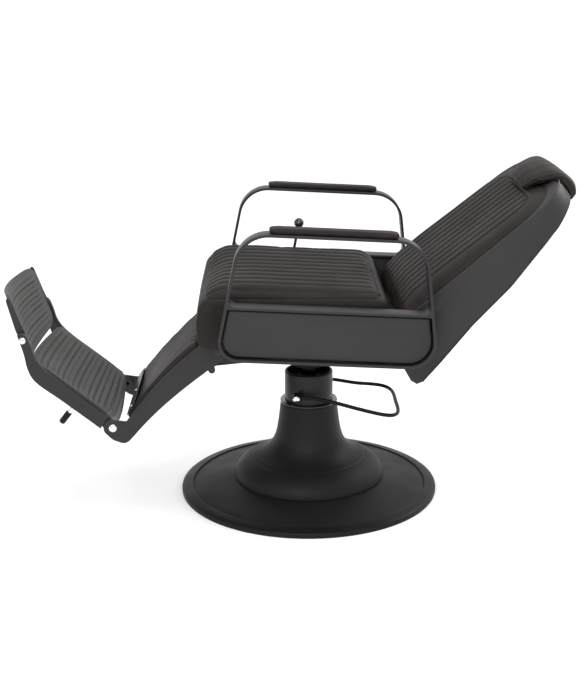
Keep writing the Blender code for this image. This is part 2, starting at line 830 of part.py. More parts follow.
def make_torque_tube():
    hinge = (RECLINE_Y, RECLINE_Z)
    length = BACK_HALF_WIDTH - SIDE_WALL - GAP
    tube = turned(
        "torque_tube",
        [(RECLINE_SHAFT + FIT, -length), (TORQUE_TUBE, -length), (TORQUE_TUBE, length), (RECLINE_SHAFT + FIT, length)],
        "steel",
        sides=SMALL,
    )
    tube.rotation_euler = (0, pi / 2, 0)
    tube.location = (0, *hinge)
    window = [circle(*hinge, (RECLINE_SHAFT + TORQUE_TUBE) / 2)]
    drive, gas = lug_spot(DRIVE_ARM), lug_spot(GAS_ARM)
    welded = []
    for side in (1, -1):
        inner = DRIVE_LUG_X
        outline = strap(hinge, TORQUE_TUBE + 0.004, drive, LINK_EYE)
        welded.append(side_plate(f"drive_lug_{side}", outline, *span(side, inner, inner + PLATE), None, None, window))
        far = LINK_X + PLATE + 0.002
        welded.append(rod(f"drive_pin_{side}", *span(side, inner + 0.001, far), *drive, DRIVE_PIN, None))
    outline = strap(hinge, TORQUE_TUBE + 0.004, gas, LINK_EYE)
    welded.append(side_plate("gas_lug", outline, GAS_LUG_X - PLATE, GAS_LUG_X, None, None, window))
    welded.append(rod("gas_pin", GAS_X - PLATE, GAS_LUG_X - 0.001, *gas, GAS_PIN, None))
    combine(tube, welded, "UNION")
    rod("recline_shaft", -EAR_X - PLATE - 0.001, EAR_X + PLATE + 0.001, *hinge, RECLINE_SHAFT, "chrome")


def make_drag_link(name, side):
    rear = lug_spot(DRIVE_ARM)
    front = (LEG_Y + rear[0] - RECLINE_Y, LEG_Z + rear[1] - RECLINE_Z)
    crank = (LINK_CRANK_Y, LINK_CRANK_Z)
    reach = span(side, LINK_X, LINK_X + PLATE)
    bar = side_plate(name, ribbon([rear, crank, front], LINK_HEIGHT / 2), *reach, "powder_coat")
    eyes = [side_plate(f"{name}_eye_{i}", circle(*spot, LINK_EYE), *reach, None) for i, spot in enumerate((rear, front))]
    bar = combine(bar, eyes, "UNION")
    bar.data.materials.append(MATERIALS["powder_coat"])
    bores = [
        cross_bore(f"{name}_bore_{i}", side, LINK_X - 0.01, LINK_X + PLATE + 0.01, *spot, DRIVE_PIN + i * LINK_EYE_PLAY)
        for i, spot in enumerate((rear, front))
    ]
    combine(bar, bores, "DIFFERENCE")


def make_gas_spring():
    anchor = (GAS_ANCHOR_Y, GAS_ANCHOR_Z)
    lug = lug_spot(GAS_ARM)
    length = hypot(lug[0] - anchor[0], lug[1] - anchor[1])
    angle = degrees(atan2(lug[1] - anchor[1], lug[0] - anchor[0]))
    top = (FRONT_TUBE_Y, BAR)
    plate_top = to_world(*top, 0, SEAT_HEIGHT, -SEAT_TILT)
    outline = [(plate_top[0] - 0.015, plate_top[1] - 0.001), (anchor[0] - 0.011, anchor[1])]
    outline += [(anchor[0] + 0.011 * cos(radians(a)), anchor[1] + 0.011 * sin(radians(a))) for a in range(210, 361, 30)]
    outline += [(plate_top[0] + 0.015, plate_top[1] - 0.0025)]
    plate = side_plate("gas_anchor", outline, GAS_LUG_X - PLATE, GAS_LUG_X, "powder_coat")
    pin = rod("gas_anchor_pin", GAS_X - PLATE, GAS_LUG_X - 0.001, *anchor, GAS_PIN, None)
    combine(plate, [pin], "UNION").data.materials.append(MATERIALS["powder_coat"])
    spring = axes("gas_axes", *anchor, angle)
    half = 0.0035
    bore = GAS_ROD + 2 * FIT
    start = LINK_EYE + 0.003
    floor = start + 0.02
    tube = turned(
        "gas_barrel",
        [(0, start), (GAS_TUBE, start), (GAS_TUBE, GAS_TUBE_LENGTH), (bore, GAS_TUBE_LENGTH), (bore, floor), (0, floor)],
        "base_black",
        spring,
        SMALL,
    )
    tube.location.x = GAS_X
    tube.rotation_euler = (-pi / 2, 0, 0)
    outline = strap((0, 0), LINK_EYE, (start + 0.01, 0), 0.006)
    eye = side_plate("gas_eye", outline, GAS_X - half, GAS_X + half, None, spring, [hole(0, 0, GAS_PIN)])
    combine(tube, [eye], "UNION")
    end = length - GAS_PIN - GAS_EYE_PLAY - 0.003
    profile = [(0, GAS_ROD_START), (GAS_ROD, GAS_ROD_START), (GAS_ROD, end), (0, end)]
    shaft = turned("gas_rod", profile, "chrome", spring, SMALL)
    shaft.location.x = GAS_X
    shaft.rotation_euler = (-pi / 2, 0, 0)
    eye = GAS_PIN + GAS_EYE_PLAY
    ring = circle(length, 0, eye + 0.005)
    ring = side_plate("gas_rod_eye", ring, GAS_X - half, GAS_X + half, None, spring, [circle(length, 0, eye)])
    combine(shaft, [ring], "UNION")


# ---- backrest -------------------------------------------------------------------------------------


def back_arch(name, half_width, top, corner, low=-0.2):
    """A block whose plan is the rounded top of the back, for trimming what is under it."""
    corners = [(-half_width, low, 0), (half_width, low, 0), (half_width, top, corner), (-half_width, top, corner)]
    return level_plate(name, rounded(corners, 14), -0.25, 0.25, None, back_axes)


def make_back():
    top = BACK_TOP
    shell = side_plate(
        "back_shell",
        [
            (-0.0360, -GAP),
            (-0.0600, -GAP),
            (-0.1001, -0.0577),
            (-0.1059, -0.0890),
            (-0.1002, -0.1060),
            (-0.0846, -0.1107),
            (-0.0185, -0.0998),
            (0.1002, -0.0762),
            (0.2325, -0.0602),
            (0.3567, -0.0306),
            (top, -0.002),
            (top + 0.008, 0.012),
            (top + 0.008, 0.036),
            (top, SEAM - GAP),
            (-0.0297, SEAM - GAP),
        ],
        -BACK_HALF_WIDTH,
        BACK_HALF_WIDTH,
        "side_vinyl",
        back_axes,
    )
    shell = combine(shell, [back_arch("shell_arch", BACK_HALF_WIDTH + 0.01, top + 0.009, BACK_SHOULDER)], "INTERSECT")
    shell.data.materials.append(MATERIALS["side_vinyl"])
    wall = BACK_WALL
    inside = BACK_HALF_WIDTH - SIDE_WALL
    cavity = side_plate(
        "hinge_space",
        [
            (-0.14, -0.0950),
            (-0.0846, -0.1107 + wall + 0.001),
            (0.0950, -0.0772 + wall + 0.001),
            (0.1100, -0.0500),
            (0.1100, 0.0200),
            (0.0950, SEAM - wall),
            (-0.0220, SEAM - wall),
            (-0.0240, 0.0100),
            (-0.14, 0.0100),
        ],
        -inside,
        inside,
        None,
        back_axes,
    )
    reach = BACK_HALF_WIDTH + 0.02
    shaft_bore = cross_bore("shaft_bore", 1, -reach, reach, 0, 0, RECLINE_SHAFT + FIT, back_axes)
    slot_low = 0.010 - TONGUE / 2 - TONGUE_PLAY
    slot_high = 0.010 + TONGUE / 2 + TONGUE_PLAY
    half, foot, mouth = SLOT_HALF_WIDTH, TONGUE_FOOT - 0.01, top + 0.05
    slot = level_plate(
        "tongue_slot",
        [(-half, foot), (half, foot), (half, mouth), (-half, mouth)],
        slot_low,
        slot_high,
        None,
        back_axes,
    )
    combine(shell, [cavity, shaft_bore, slot], "DIFFERENCE")
    pad = side_plate(
        "back_pad",
        [
            (-0.0363, 0.0),
            (-0.0560, 0.0),
            (-0.0500, 0.024),
            (-0.0340, 0.044),
            (-0.0050, 0.058),
            (0.0400, 0.066),
            (0.1200, 0.067),
            (0.3600, 0.0585),
            (0.4200, 0.0540),
            (0.4620, 0.0490),
            (top, SEAM + 0.001),
            (top, SEAM),
            (-0.0300, SEAM),
        ],
        -BACK_HALF_WIDTH + 0.001,
        BACK_HALF_WIDTH - 0.001,
        "vinyl",
        back_axes,
    )
    pad = combine(pad, [back_arch("pad_arch", BACK_HALF_WIDTH + 0.01, top + 0.001, BACK_SHOULDER)], "INTERSECT")
    pad.data.materials.append(MATERIALS["vinyl"])


def make_headrest():
    crest = HEADREST_TOP
    inner = crest - 0.0255
    wide = HEADREST_HALF_WIDTH
    # Each point of the section is (s, n, half width): the front flap narrows to its lower edge
    section = [(0.405, 0.0590, 0.095), (0.440, 0.0575, 0.126), (0.470, 0.0520, 0.145), (inner, 0.0400, 0.160)]
    section += [(inner, 0.0040, wide), (0.476, -0.0050, wide), (0.474, -0.0130, wide)]
    section += [(crest - 0.0200, -0.0130, wide), (crest - 0.0060, 0.0000, wide), (crest - 0.0015, 0.0200, 0.175)]
    middle = [(crest - 0.0040, 0.0450), (crest - 0.0200, 0.0680), (0.455, 0.0860), (0.412, 0.0850), (0.405, 0.0760)]
    ends = [(crest - 0.0070, 0.0420), (crest - 0.0250, 0.0540), (0.445, 0.0655), (0.415, 0.0670), (0.405, 0.0650)]
    widths = (0.165, 0.156, 0.136, 0.102, 0.095)
    mesh = bmesh.new()
    sections = []
    for share in (-1, -0.75, -0.4, 0, 0.4, 0.75, 1):
        saddle = [(*Vector(m).lerp(Vector(e), share**2), width) for m, e, width in zip(middle, ends, widths)]
        sections.append([mesh.verts.new((share * width, s, n)) for s, n, width in section + saddle])
    for near, far in zip(sections, sections[1:]):
        for i in range(len(near)):
            mesh.faces.new((near[i - 1], near[i], far[i], far[i - 1]))
    for end in (sections[0], sections[-1]):
        mesh.faces.new(end)
    bmesh.ops.recalc_face_normals(mesh, faces=mesh.faces)
    data = bpy.data.meshes.new("headrest_pad")
    mesh.to_mesh(data)
    mesh.free()
    pad = place("headrest_pad", data, None, back_axes)
    trim = back_arch("headrest_arch", HEADREST_HALF_WIDTH + 0.004, crest + 0.002, HEADREST_CORNER)
    combine(pad, [trim], "INTERSECT").data.materials.append(MATERIALS["vinyl"])
    half = TONGUE_HALF_WIDTH
    end = crest - 0.0255 - GAP
    level_plate(
        "headrest_bracket",
        [(-half, TONGUE_FOOT), (half, TONGUE_FOOT), (half, end), (-half, end)],
        0.010 - TONGUE / 2,
        0.010 + TONGUE / 2,
        "steel",
        back_axes,
    )


# ---- legrest --------------------------------------------------------------------------------------


def make_leg_ear(name, side):
    hinge = (LEG_Y, LEG_Z)
    front = to_world(FRONT_TUBE_Y - 0.02, BAR - 0.001, 0, SEAT_HEIGHT, -SEAT_TILT)
    rear = to_world(FRONT_TUBE_Y + 0.02, BAR - 0.001, 0, SEAT_HEIGHT, -SEAT_TILT)
    turns = [radians(a) for a in range(130, 311, 30)]
    outline = [front, *[(LEG_Y + LEG_EAR * cos(t), LEG_Z + LEG_EAR * sin(t)) for t in turns], rear]
    ear = side_plate(name, outline, *span(side, LEG_EAR_X, LEG_EAR_X + PLATE), "powder_coat")
    pin = rod(f"{name}_pin", *span(side, LEG_EAR_X + 0.001, LEG_X + PLATE + 0.001), *hinge, LEG_PIN, None)
    combine(ear, [pin], "UNION").data.materials.append(MATERIALS["powder_coat"])


def leg_top(s):
    """The upper edge of the leg plates, as a height over the line of their two hinges."""
    return 0.0402 - 0.52 * (s / LEG_LENGTH) ** 2 * 0.115


def leg_bottom(s):
    return -0.0245 - 0.0335 * (s / LEG_LENGTH) ** 3


def make_leg_plate(name, side):
    steps = 6
    start, end = 0.030, LEG_LENGTH - 0.038
    stations = [start + (end - start) * i / steps for i in range(steps + 1)]
    outline = [(0.026 * cos(radians(a)), 0.026 * sin(radians(a))) for a in range(-100, 101, 25)]
    outline += [(-s, leg_top(s)) for s in stations]
    clevis = [(-LEG_LENGTH + CLEVIS * cos(radians(a)), CLEVIS * sin(radians(a))) for a in range(70, 196, 25)]
    outline += clevis + [(-LEG_LENGTH - 0.014, -0.036), (-LEG_LENGTH - 0.003, -0.050), (-LEG_LENGTH + 0.010, -0.0535)]
    outline += [(-s, leg_bottom(s)) for s in stations[::-1]]
    holes = [hole(0, 0, LEG_PIN), hole(-LEG_LENGTH, 0, FOOT_BOLT, BOLT_SIDES)]
    side_plate(name, outline, *span(side, LEG_X, LEG_X + PLATE), "powder_coat", leg_axes, holes)


def calf_top(s):
    return leg_top(s) + 0.008 - 0.004 * (s - CALF_TOP_END) / (CALF_LOW_END - CALF_TOP_END)


def make_calf_pad():
    steps = 5
    stations = [CALF_TOP_END + (CALF_LOW_END - CALF_TOP_END) * i / steps for i in range(steps + 1)]
    outline = [(-s, calf_top(s)) for s in stations]
    outline += [(-s, calf_top(s) - CALF_THICKNESS) for s in stations[::-1]]
    side_plate("calf_pad", outline, -CALF_HALF_WIDTH, CALF_HALF_WIDTH, "vinyl", leg_axes)
    low, high = CALF_LOW_END - 0.028, CALF_LOW_END
    lift = 0.0012
    strip = [(-low, calf_top(low) + lift), (-high, calf_top(high) + lift)]
    strip += [(-high, calf_top(high) + lift + 0.002), (-low, calf_top(low) + lift + 0.002)]
    side_plate("calf_strip", strip, -CALF_HALF_WIDTH + 0.012, CALF_HALF_WIDTH - 0.012, "powder_coat", leg_axes)
    rear = lug_spot(DRIVE_ARM)
    spot = (LEG_Y + rear[0] - RECLINE_Y, LEG_Z + rear[1] - RECLINE_Z)
    reach = LEG_X - GAP
    outline = strap(spot, 0.009, (spot[0] - 0.012, spot[1] + 0.028), 0.008)
    lugs = [
        side_plate(f"drive_rod_lug_{side}", outline, *span(side, reach - PLATE, reach), None) for side in (1, -1)
    ]
    combine(rod("drive_rod", -reach, reach, *spot, DRIVE_PIN, "powder_coat"), lugs, "UNION")


def bolt(name, side, y, z, shank, inner, outer, head, parent):
    """A button-head bolt from inside, with its head on the outer face."""
    profile = [(0, inner), (shank, inner), (shank, outer + GAP), (head, outer + GAP)]
    profile += [(head, outer + 0.003), (head * 0.6, outer + 0.005), (0, outer + 0.005)]
    obj = turned(name, profile, "chrome", parent, BOLT_SIDES)
    obj.rotation_euler = (0, side * pi / 2, 0)
    obj.location = (0, y, z)


# ---- footrest and toe flap ------------------------------------------------------------------------


def make_foot_rail(name, side):
    neck = side_plate(
        name,
        strap((0, 0), 0.016, (-0.050, 0), 0.014),
        *span(side, FOOT_X, FOOT_X + PLATE),
        "powder_coat",
        foot_axes,
        [hole(0, 0, FOOT_BOLT, BOLT_SIDES)],
    )
    rail = side_plate(
        f"{name}_web",
        [
            (-0.0285, 0.0165),
            (-0.1166, 0.0170),
            (-0.2122, 0.0200),
            (-0.2600, 0.0285),
            (-TOE_S + 0.004, TOE_N + 0.0125),
            (-TOE_S - 0.0150, TOE_N + 0.0120),
            (-TOE_S - 0.0180, TOE_N + 0.0020),
            (-0.2956, 0.0255),
            (-0.2717, 0.0040),
            (-0.2600, -0.0050),
            (-0.2420, -0.0150),
            (-0.2137, -0.0205),
            (-0.1535, -0.0195),
            (-0.0240, -0.0208),
        ],
        *span(side, FOOT_X, LEG_X + PLATE),
        None,
        foot_axes,
    )
    neck = combine(neck, [rail], "UNION")
    neck.data.materials.append(MATERIALS["powder_coat"])
    far = LEG_X + 0.02
    toe_bore = cross_bore(f"{name}_bore", side, FOOT_X - 0.01, far, -TOE_S, TOE_N, TOE_BOLT, foot_axes, BOLT_SIDES)
    combine(neck, [toe_bore], "DIFFERENCE")


def dished_pad(name, half_width, start, end, edge, sag, thickness, material, parent, columns=8):
    """A pad dished across its width. It runs from start to end along -Y, with its long edges at height edge."""
    mesh = bmesh.new()
    rows = []
    for s in (start, end):
        for sheet in (0, thickness):
            row = []
            for i in range(columns + 1):
                x = half_width * (2 * i / columns - 1)
                row.append(mesh.verts.new((x, -s, edge - sag * (1 - (x / half_width) ** 2) - sheet)))
            rows.append(row)
    near_top, near_low, far_top, far_low = rows
    for a, b in ((near_top, far_top), (far_low, near_low), (near_low, near_top), (far_top, far_low)):
        for i in range(columns):
            mesh.faces.new((a[i], a[i + 1], b[i + 1], b[i]))
    for i in (0, columns):
        mesh.faces.new((near_top[i], near_low[i], far_low[i], far_top[i]))
    bmesh.ops.recalc_face_normals(mesh, faces=mesh.faces)
    data = bpy.data.meshes.new(name)
    mesh.to_mesh(data)
    mesh.free()
    return place(name, data, material, parent)


def make_footrest():
    half = FOOT_X - 0.001
    section = (FOOT_PAD_EDGE, FOOT_PAD_SAG, FOOT_PAD_THICKNESS)
    dished_pad("foot_pad", half, FOOT_PAD_START, FOOT_PAD_END, *section, "foot_rubber", foot_axes)
    inner = (PEG_X - PEG_RADIUS) / half
    top = FOOT_PAD_EDGE - FOOT_PAD_SAG * (1 - inner**2) - FOOT_PAD_THICKNESS - 2 * GAP
    tip_hole = PEG_RADIUS + GAP
    profile = [(0, PEG_ROD_END), (PEG_RADIUS, PEG_ROD_END), (PEG_RADIUS, top), (0, top)]
    peg = turned("peg_rod", profile, "chrome", foot_axes, SMALL)
    peg.location = (PEG_X, -PEG_S, 0)
    mouth, floor = PEG_ROD_END + 0.012, PEG_ROD_END - GAP
    profile = [(0, PEG_END), (PEG_TIP_RADIUS * 0.8, PEG_END), (PEG_TIP_RADIUS, PEG_END + 0.003)]
    profile += [(PEG_TIP_RADIUS, mouth), (tip_hole, mouth), (tip_hole, floor), (0, floor)]
    tip = turned("peg_tip", profile, "foot_rubber", foot_axes, SMALL)
    tip.location = (PEG_X, -PEG_S, 0)


def make_toe_arm(name, side):
    outline = [(0.011 * cos(radians(a)), 0.011 * sin(radians(a))) for a in range(-90, 61, 30)]
    outline += [(-0.040, 0.008), (-TOE_END + 0.010, 0.006), (-TOE_END + 0.002, 0.000)]
    outline += [(-TOE_END + 0.012, -0.006), (-0.030, -0.011)]
    holes = [hole(0, 0, TOE_BOLT, BOLT_SIDES)]
    side_plate(name, outline, *span(side, TOE_ARM_X, TOE_ARM_X + PLATE), "powder_coat", toe_axes, holes)


def make_toe_flap():
    both_sides(make_toe_arm, "toe_arm_left", "toe_arm_right")
    section = (TOE_PAD_EDGE, TOE_PAD_SAG, TOE_PAD_THICKNESS)
    dished_pad("toe_pad", TOE_ARM_X - 0.001, TOE_START, TOE_END, *section, "foot_rubber", toe_axes)


# ---- the chair ------------------------------------------------------------------------------------

seat_axes = axes("seat_axes", 0, SEAT_HEIGHT, -SEAT_TILT)
back_axes = axes("back_axes", RECLINE_Y, RECLINE_Z, RECLINE_ANGLE)
leg_axes = axes("leg_axes", LEG_Y, LEG_Z, LEG_ANGLE)
foot_axes = axes("foot_axes", *to_world(-LEG_LENGTH, 0, LEG_Y, LEG_Z, LEG_ANGLE), FOOT_ANGLE)
toe_axes = axes("toe_axes", -TOE_S, TOE_N, TOE_ANGLE, foot_axes)
bpy.context.view_layer.update()

make_base()
make_bell()
make_pump()
make_pedal()
make_hub()
both_sides(make_side_loop, "side_loop_left", "side_loop_right")
both_sides(make_side_panel, "side_panel_left", "side_panel_right")
both_sides(make_arm_pad, "arm_pad_left", "arm_pad_right")
make_cross_tube("front_cross_tube", FRONT_TUBE_Y)
make_cross_tube("rear_cross_tube", REAR_TUBE_Y)
make_seat()
make_lever()
both_sides(make_recline_ear, "recline_ear_left", "recline_ear_right")
make_torque_tube()
both_sides(make_drag_link, "drag_link_left", "drag_link_right")
make_gas_spring()
make_back()
make_headrest()
both_sides(make_leg_ear, "leg_ear_left", "leg_ear_right")
both_sides(make_leg_plate, "leg_plate_left", "leg_plate_right")
make_calf_pad()
both_sides(make_foot_rail, "foot_rail_left", "foot_rail_right")
make_footrest()
make_toe_flap()
for side, word in ((1, "left"), (-1, "right")):
    bolt(f"foot_bolt_{word}", side, -LEG_LENGTH, 0, FOOT_BOLT, FOOT_X, LEG_X + PLATE, 0.0095, leg_axes)
    bolt(f"toe_bolt_{word}", side, 0, 0, TOE_BOLT, TOE_ARM_X, LEG_X + PLATE, 0.0085, toe_axes)
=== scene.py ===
import json
from math import cos, pi, radians, sin, sqrt

import bmesh
import bpy
import numpy as np
from mathutils import Matrix, Vector
from mathutils.bvhtree import BVHTree

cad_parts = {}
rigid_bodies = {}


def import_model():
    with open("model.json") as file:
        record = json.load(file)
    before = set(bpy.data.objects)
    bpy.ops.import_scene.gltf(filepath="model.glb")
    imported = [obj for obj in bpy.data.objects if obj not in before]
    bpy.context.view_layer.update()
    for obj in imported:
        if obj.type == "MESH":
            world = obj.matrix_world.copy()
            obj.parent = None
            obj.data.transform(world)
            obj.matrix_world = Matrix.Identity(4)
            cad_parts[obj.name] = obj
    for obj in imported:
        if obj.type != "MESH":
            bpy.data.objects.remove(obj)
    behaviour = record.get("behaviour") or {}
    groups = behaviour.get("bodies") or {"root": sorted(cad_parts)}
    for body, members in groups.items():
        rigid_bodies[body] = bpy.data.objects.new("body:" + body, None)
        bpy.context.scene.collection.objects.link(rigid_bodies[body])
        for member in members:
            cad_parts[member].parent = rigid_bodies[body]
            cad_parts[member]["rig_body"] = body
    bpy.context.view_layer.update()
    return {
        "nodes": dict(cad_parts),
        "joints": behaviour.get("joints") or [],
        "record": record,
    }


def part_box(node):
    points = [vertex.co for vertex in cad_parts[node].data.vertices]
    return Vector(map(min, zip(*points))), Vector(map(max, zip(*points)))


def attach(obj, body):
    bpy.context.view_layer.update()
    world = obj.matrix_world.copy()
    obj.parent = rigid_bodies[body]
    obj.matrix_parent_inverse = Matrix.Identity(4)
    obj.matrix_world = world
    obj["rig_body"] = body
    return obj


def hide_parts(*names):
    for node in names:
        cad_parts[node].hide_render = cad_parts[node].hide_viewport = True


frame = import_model()

# ---- Round base ---------------------------------------------------------------------------------
# The chair stands on a heavy steel disc under a pressed, matt black cover. A moulded ring is pushed over
# the rim of both. A spun bell sits on the cover and hides the foot of the pump.

COVER_RISE = 0.0397
BELL_FOOT = 0.0401


def shader_group(name, inputs, outputs):
    """A node group with these (label, kind, value) inputs, and its input and output nodes."""
    group = bpy.data.node_groups.new(name, "ShaderNodeTree")
    for label, kind, value in inputs:
        group.interface.new_socket(label, in_out="INPUT", socket_type=kind).default_value = value
    for label, kind in outputs:
        group.interface.new_socket(label, in_out="OUTPUT", socket_type=kind)
    return group, group.nodes.new("NodeGroupInput").outputs, group.nodes.new("NodeGroupOutput").inputs


def node(tree, kind, settings=(), **sockets):
    """A node of a tree, with its settings and its sockets' values or links."""
    made = tree.nodes.new(kind)
    for setting, value in settings:
        setattr(made, setting, value)
    for label, value in sockets.items():
        socket = made.inputs[int(label[1:]) if label[0] == "_" else label.replace("_", " ")]
        if isinstance(value, bpy.types.NodeSocket):
            tree.links.new(value, socket)
        else:
            socket.default_value = value
    return made


def ranged(tree, value, low, high, to_low, to_high):
    """A value carried from one range to another."""
    return node(tree, "ShaderNodeMapRange", _0=value, _1=low, _2=high, _3=to_low, _4=to_high).outputs[0]


def times(tree, a, b):
    return node(tree, "ShaderNodeMath", [("operation", "MULTIPLY")], _0=a, _1=b).outputs[0]


def plus(tree, a, b):
    return node(tree, "ShaderNodeMath", _0=a, _1=b).outputs[0]


def blend(tree, share, low, high):
    """A colour between two others."""
    return node(tree, "ShaderNodeMix", [("data_type", "RGBA")], _0=share, _6=low, _7=high).outputs[2]


def shade(tree, color, amount):
    """A colour made darker or lighter."""
    return node(tree, "ShaderNodeVectorMath", [("operation", "SCALE")], _0=color, Scale=amount).outputs[0]


def put_out(tree, result, **values):
    """Links values to a group's outputs."""
    for label, value in values.items():
        tree.links.new(value, result[label])


def powder_texture_group():
    """Fine grain, smudges in the gloss, and edges where the coat is rubbed."""
    group, given, result = shader_group(
        "powder_texture",
        [
            ("Color", "NodeSocketColor", (0.05, 0.05, 0.05, 1)),
            ("Rubbed Color", "NodeSocketColor", (0.2, 0.2, 0.2, 1)),
            ("Grain Scale", "NodeSocketFloat", 900.0),
            ("Roughness", "NodeSocketFloat", 0.5),
            ("Rubbing", "NodeSocketFloat", 0.5),
        ],
        [("Color", "NodeSocketColor"), ("Roughness", "NodeSocketFloat"), ("Height", "NodeSocketFloat")],
    )
    place = node(group, "ShaderNodeTexCoord").outputs["Object"]
    grain = node(group, "ShaderNodeTexNoise", Vector=place, Scale=given["Grain Scale"], Detail=2.0).outputs[0]
    smudge = node(group, "ShaderNodeTexNoise", Vector=place, Scale=9.0, Detail=4.0).outputs[0]
    edge = node(group, "ShaderNodeNewGeometry").outputs["Pointiness"]
    worn = ranged(group, edge, 0.53, 0.62, 0.0, 1.0)
    share = times(group, times(group, worn, smudge), given["Rubbing"])
    fleck = ranged(group, grain, 0.35, 0.75, 0.86, 1.16)
    tone = blend(group, share, given["Color"], given["Rubbed Color"])
    rough = plus(group, given["Roughness"], ranged(group, smudge, 0.3, 0.7, -0.07, 0.07))
    put_out(group, result, Color=shade(group, tone, fleck), Roughness=rough, Height=grain)
    return group


powder_texture = powder_texture_group()


def finish_material(name, group, bump, bump_depth, metallic=0.0, specular=0.5, coat=0.0, **values):
    """A material whose detail comes from a shader group with these values."""
    material = bpy.data.materials.new(name)
    material.use_nodes = True
    tree = material.node_tree
    shader = tree.nodes["Principled BSDF"]
    shader.inputs["Metallic"].default_value = metallic
    shader.inputs["Specular IOR Level"].default_value = specular
    shader.inputs["Coat Weight"].default_value = coat
    detail = tree.nodes.new("ShaderNodeGroup")
    detail.node_tree = group
    for label, value in values.items():
        socket = detail.inputs[label.replace("_", " ")]
        socket.default_value = (*value, 1) if isinstance(value, tuple) else value
    relief = node(tree, "ShaderNodeBump", Strength=bump, Distance=bump_depth, Height=detail.outputs["Height"])
    tree.links.new(relief.outputs["Normal"], shader.inputs["Normal"])
    for label, socket in (("Color", "Base Color"), ("Roughness", "Roughness")):
        if label in detail.outputs:
            tree.links.new(detail.outputs[label], shader.inputs[socket])
    return material


base_black = finish_material(
    "base_black", powder_texture, 0.5, 0.0002, specular=0.17, Color=(0.009, 0.009, 0.0093),
    Rubbed_Color=(0.04, 0.04, 0.04), Grain_Scale=1300.0, Roughness=0.52, Rubbing=0.5,
)
trim_black = finish_material(
    "trim_black", powder_texture, 0.3, 0.0001, specular=0.14, Color=(0.0065, 0.0065, 0.0068),
    Rubbed_Color=(0.03, 0.03, 0.03), Grain_Scale=700.0, Roughness=0.42, Rubbing=0.6,
)
gloss_black = finish_material(
    "gloss_black", powder_texture, 0.06, 0.0001, coat=0.5, Color=(0.01, 0.01, 0.01),
    Rubbed_Color=(0.05, 0.05, 0.05), Grain_Scale=400.0, Roughness=0.16, Rubbing=0.3,
)
bare_steel = finish_material(
    "bare_steel", powder_texture, 0.2, 0.0001, metallic=1.0, Color=(0.32, 0.32, 0.33),
    Rubbed_Color=(0.6, 0.6, 0.6), Grain_Scale=500.0, Roughness=0.38, Rubbing=0.8,
)
chrome = finish_material(
    "chrome", powder_texture, 0.03, 0.0001, metallic=1.0, Color=(0.78, 0.78, 0.79),
    Rubbed_Color=(0.9, 0.9, 0.9), Grain_Scale=300.0, Roughness=0.1, Rubbing=0.3,
)


def install(name, mesh, material, nodes=(), body=None, sharp=35):
    """Makes a mesh a piece that rides on its body, and stands for the nodes of the frame that it replaces."""
    piece = bpy.data.objects.new(name, mesh)
    bpy.context.scene.collection.objects.link(piece)
    mesh.materials.clear()
    mesh.materials.append(material)
    mesh.shade_smooth()
    mesh.set_sharp_from_angle(angle=radians(sharp))
    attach(piece, body or frame["nodes"][nodes[0]]["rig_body"])
    if nodes:
        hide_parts(*nodes)
    return piece


def as_mesh(shape, name):
    """What a bmesh holds, as a mesh with its faces outwards."""
    bmesh.ops.remove_doubles(shape, verts=shape.verts, dist=1e-6)
    bmesh.ops.recalc_face_normals(shape, faces=shape.faces)
    mesh = bpy.data.meshes.new(name)
    shape.to_mesh(mesh)
    shape.free()
    return mesh


def smooth_line(points, steps):
    """Points on a smooth curve through the given ones."""
    spots = [Vector(p) for p in points]
    spots = [2 * spots[0] - spots[1], *spots, 2 * spots[-1] - spots[-2]]
    line = []
    for a, b, c, d in zip(spots, spots[1:], spots[2:], spots[3:]):
        for t in (i / steps for i in range(steps)):
            bend = (2 * a - 5 * b + 4 * c - d) * t**2 + (3 * b - a - 3 * c + d) * t**3
            line.append((2 * b + (c - a) * t + bend) / 2)
    return line + [spots[-2]]


def turned(name, profile, sides=144):
    """Turns a closed (radius, z) outline about Z."""
    shape = bmesh.new()
    rings = []
    for radius, z in profile:
        turns = [2 * pi * i / sides for i in range(sides)] if radius else [0]
        rings.append([shape.verts.new((radius * cos(t), radius * sin(t), z)) for t in turns])
    for low, high in zip(rings, rings[1:] + rings[:1]):
        for i in range(sides):
            j = (i + 1) % sides
            corners = [low[i % len(low)], low[j % len(low)], high[j % len(high)], high[i % len(high)]]
            distinct = list(dict.fromkeys(corners))
            if len(distinct) > 2:
                shape.faces.new(distinct)
    return as_mesh(shape, name)


SHEET = 0.003
cover_profile = [(0.3188, 0.0083), (0.3188, 0.0142), (0.3182, 0.0153), (0.3165, 0.0161), (0.299, 0.0198)]
cover_profile += [(0.25, 0.03), (0.208, 0.0385), (0.203, COVER_RISE), (0.09, COVER_RISE)]
cover_profile += [(0.09, COVER_RISE - SHEET), (0.203, COVER_RISE - SHEET)]
cover_profile += [(0.316, 0.0125), (0.316, 0.0083)]
install("base_cover_pressed", turned("cover", cover_profile), base_black, ["base_cover"])

trim_profile = [(0.335, 0), (0.3488, 0), (0.35, 0.0012), (0.35, 0.0098), (0.3494, 0.0116)]
trim_profile += [(0.347, 0.0134), (0.334, 0.016), (0.3228, 0.0182), (0.3208, 0.0184), (0.3192, 0.0176)]
trim_profile += [(0.319, 0.016), (0.324, 0.014), (0.335, 0.012)]
install("rim_trim_moulded", turned("trim", trim_profile), trim_black, ["rim_trim"])

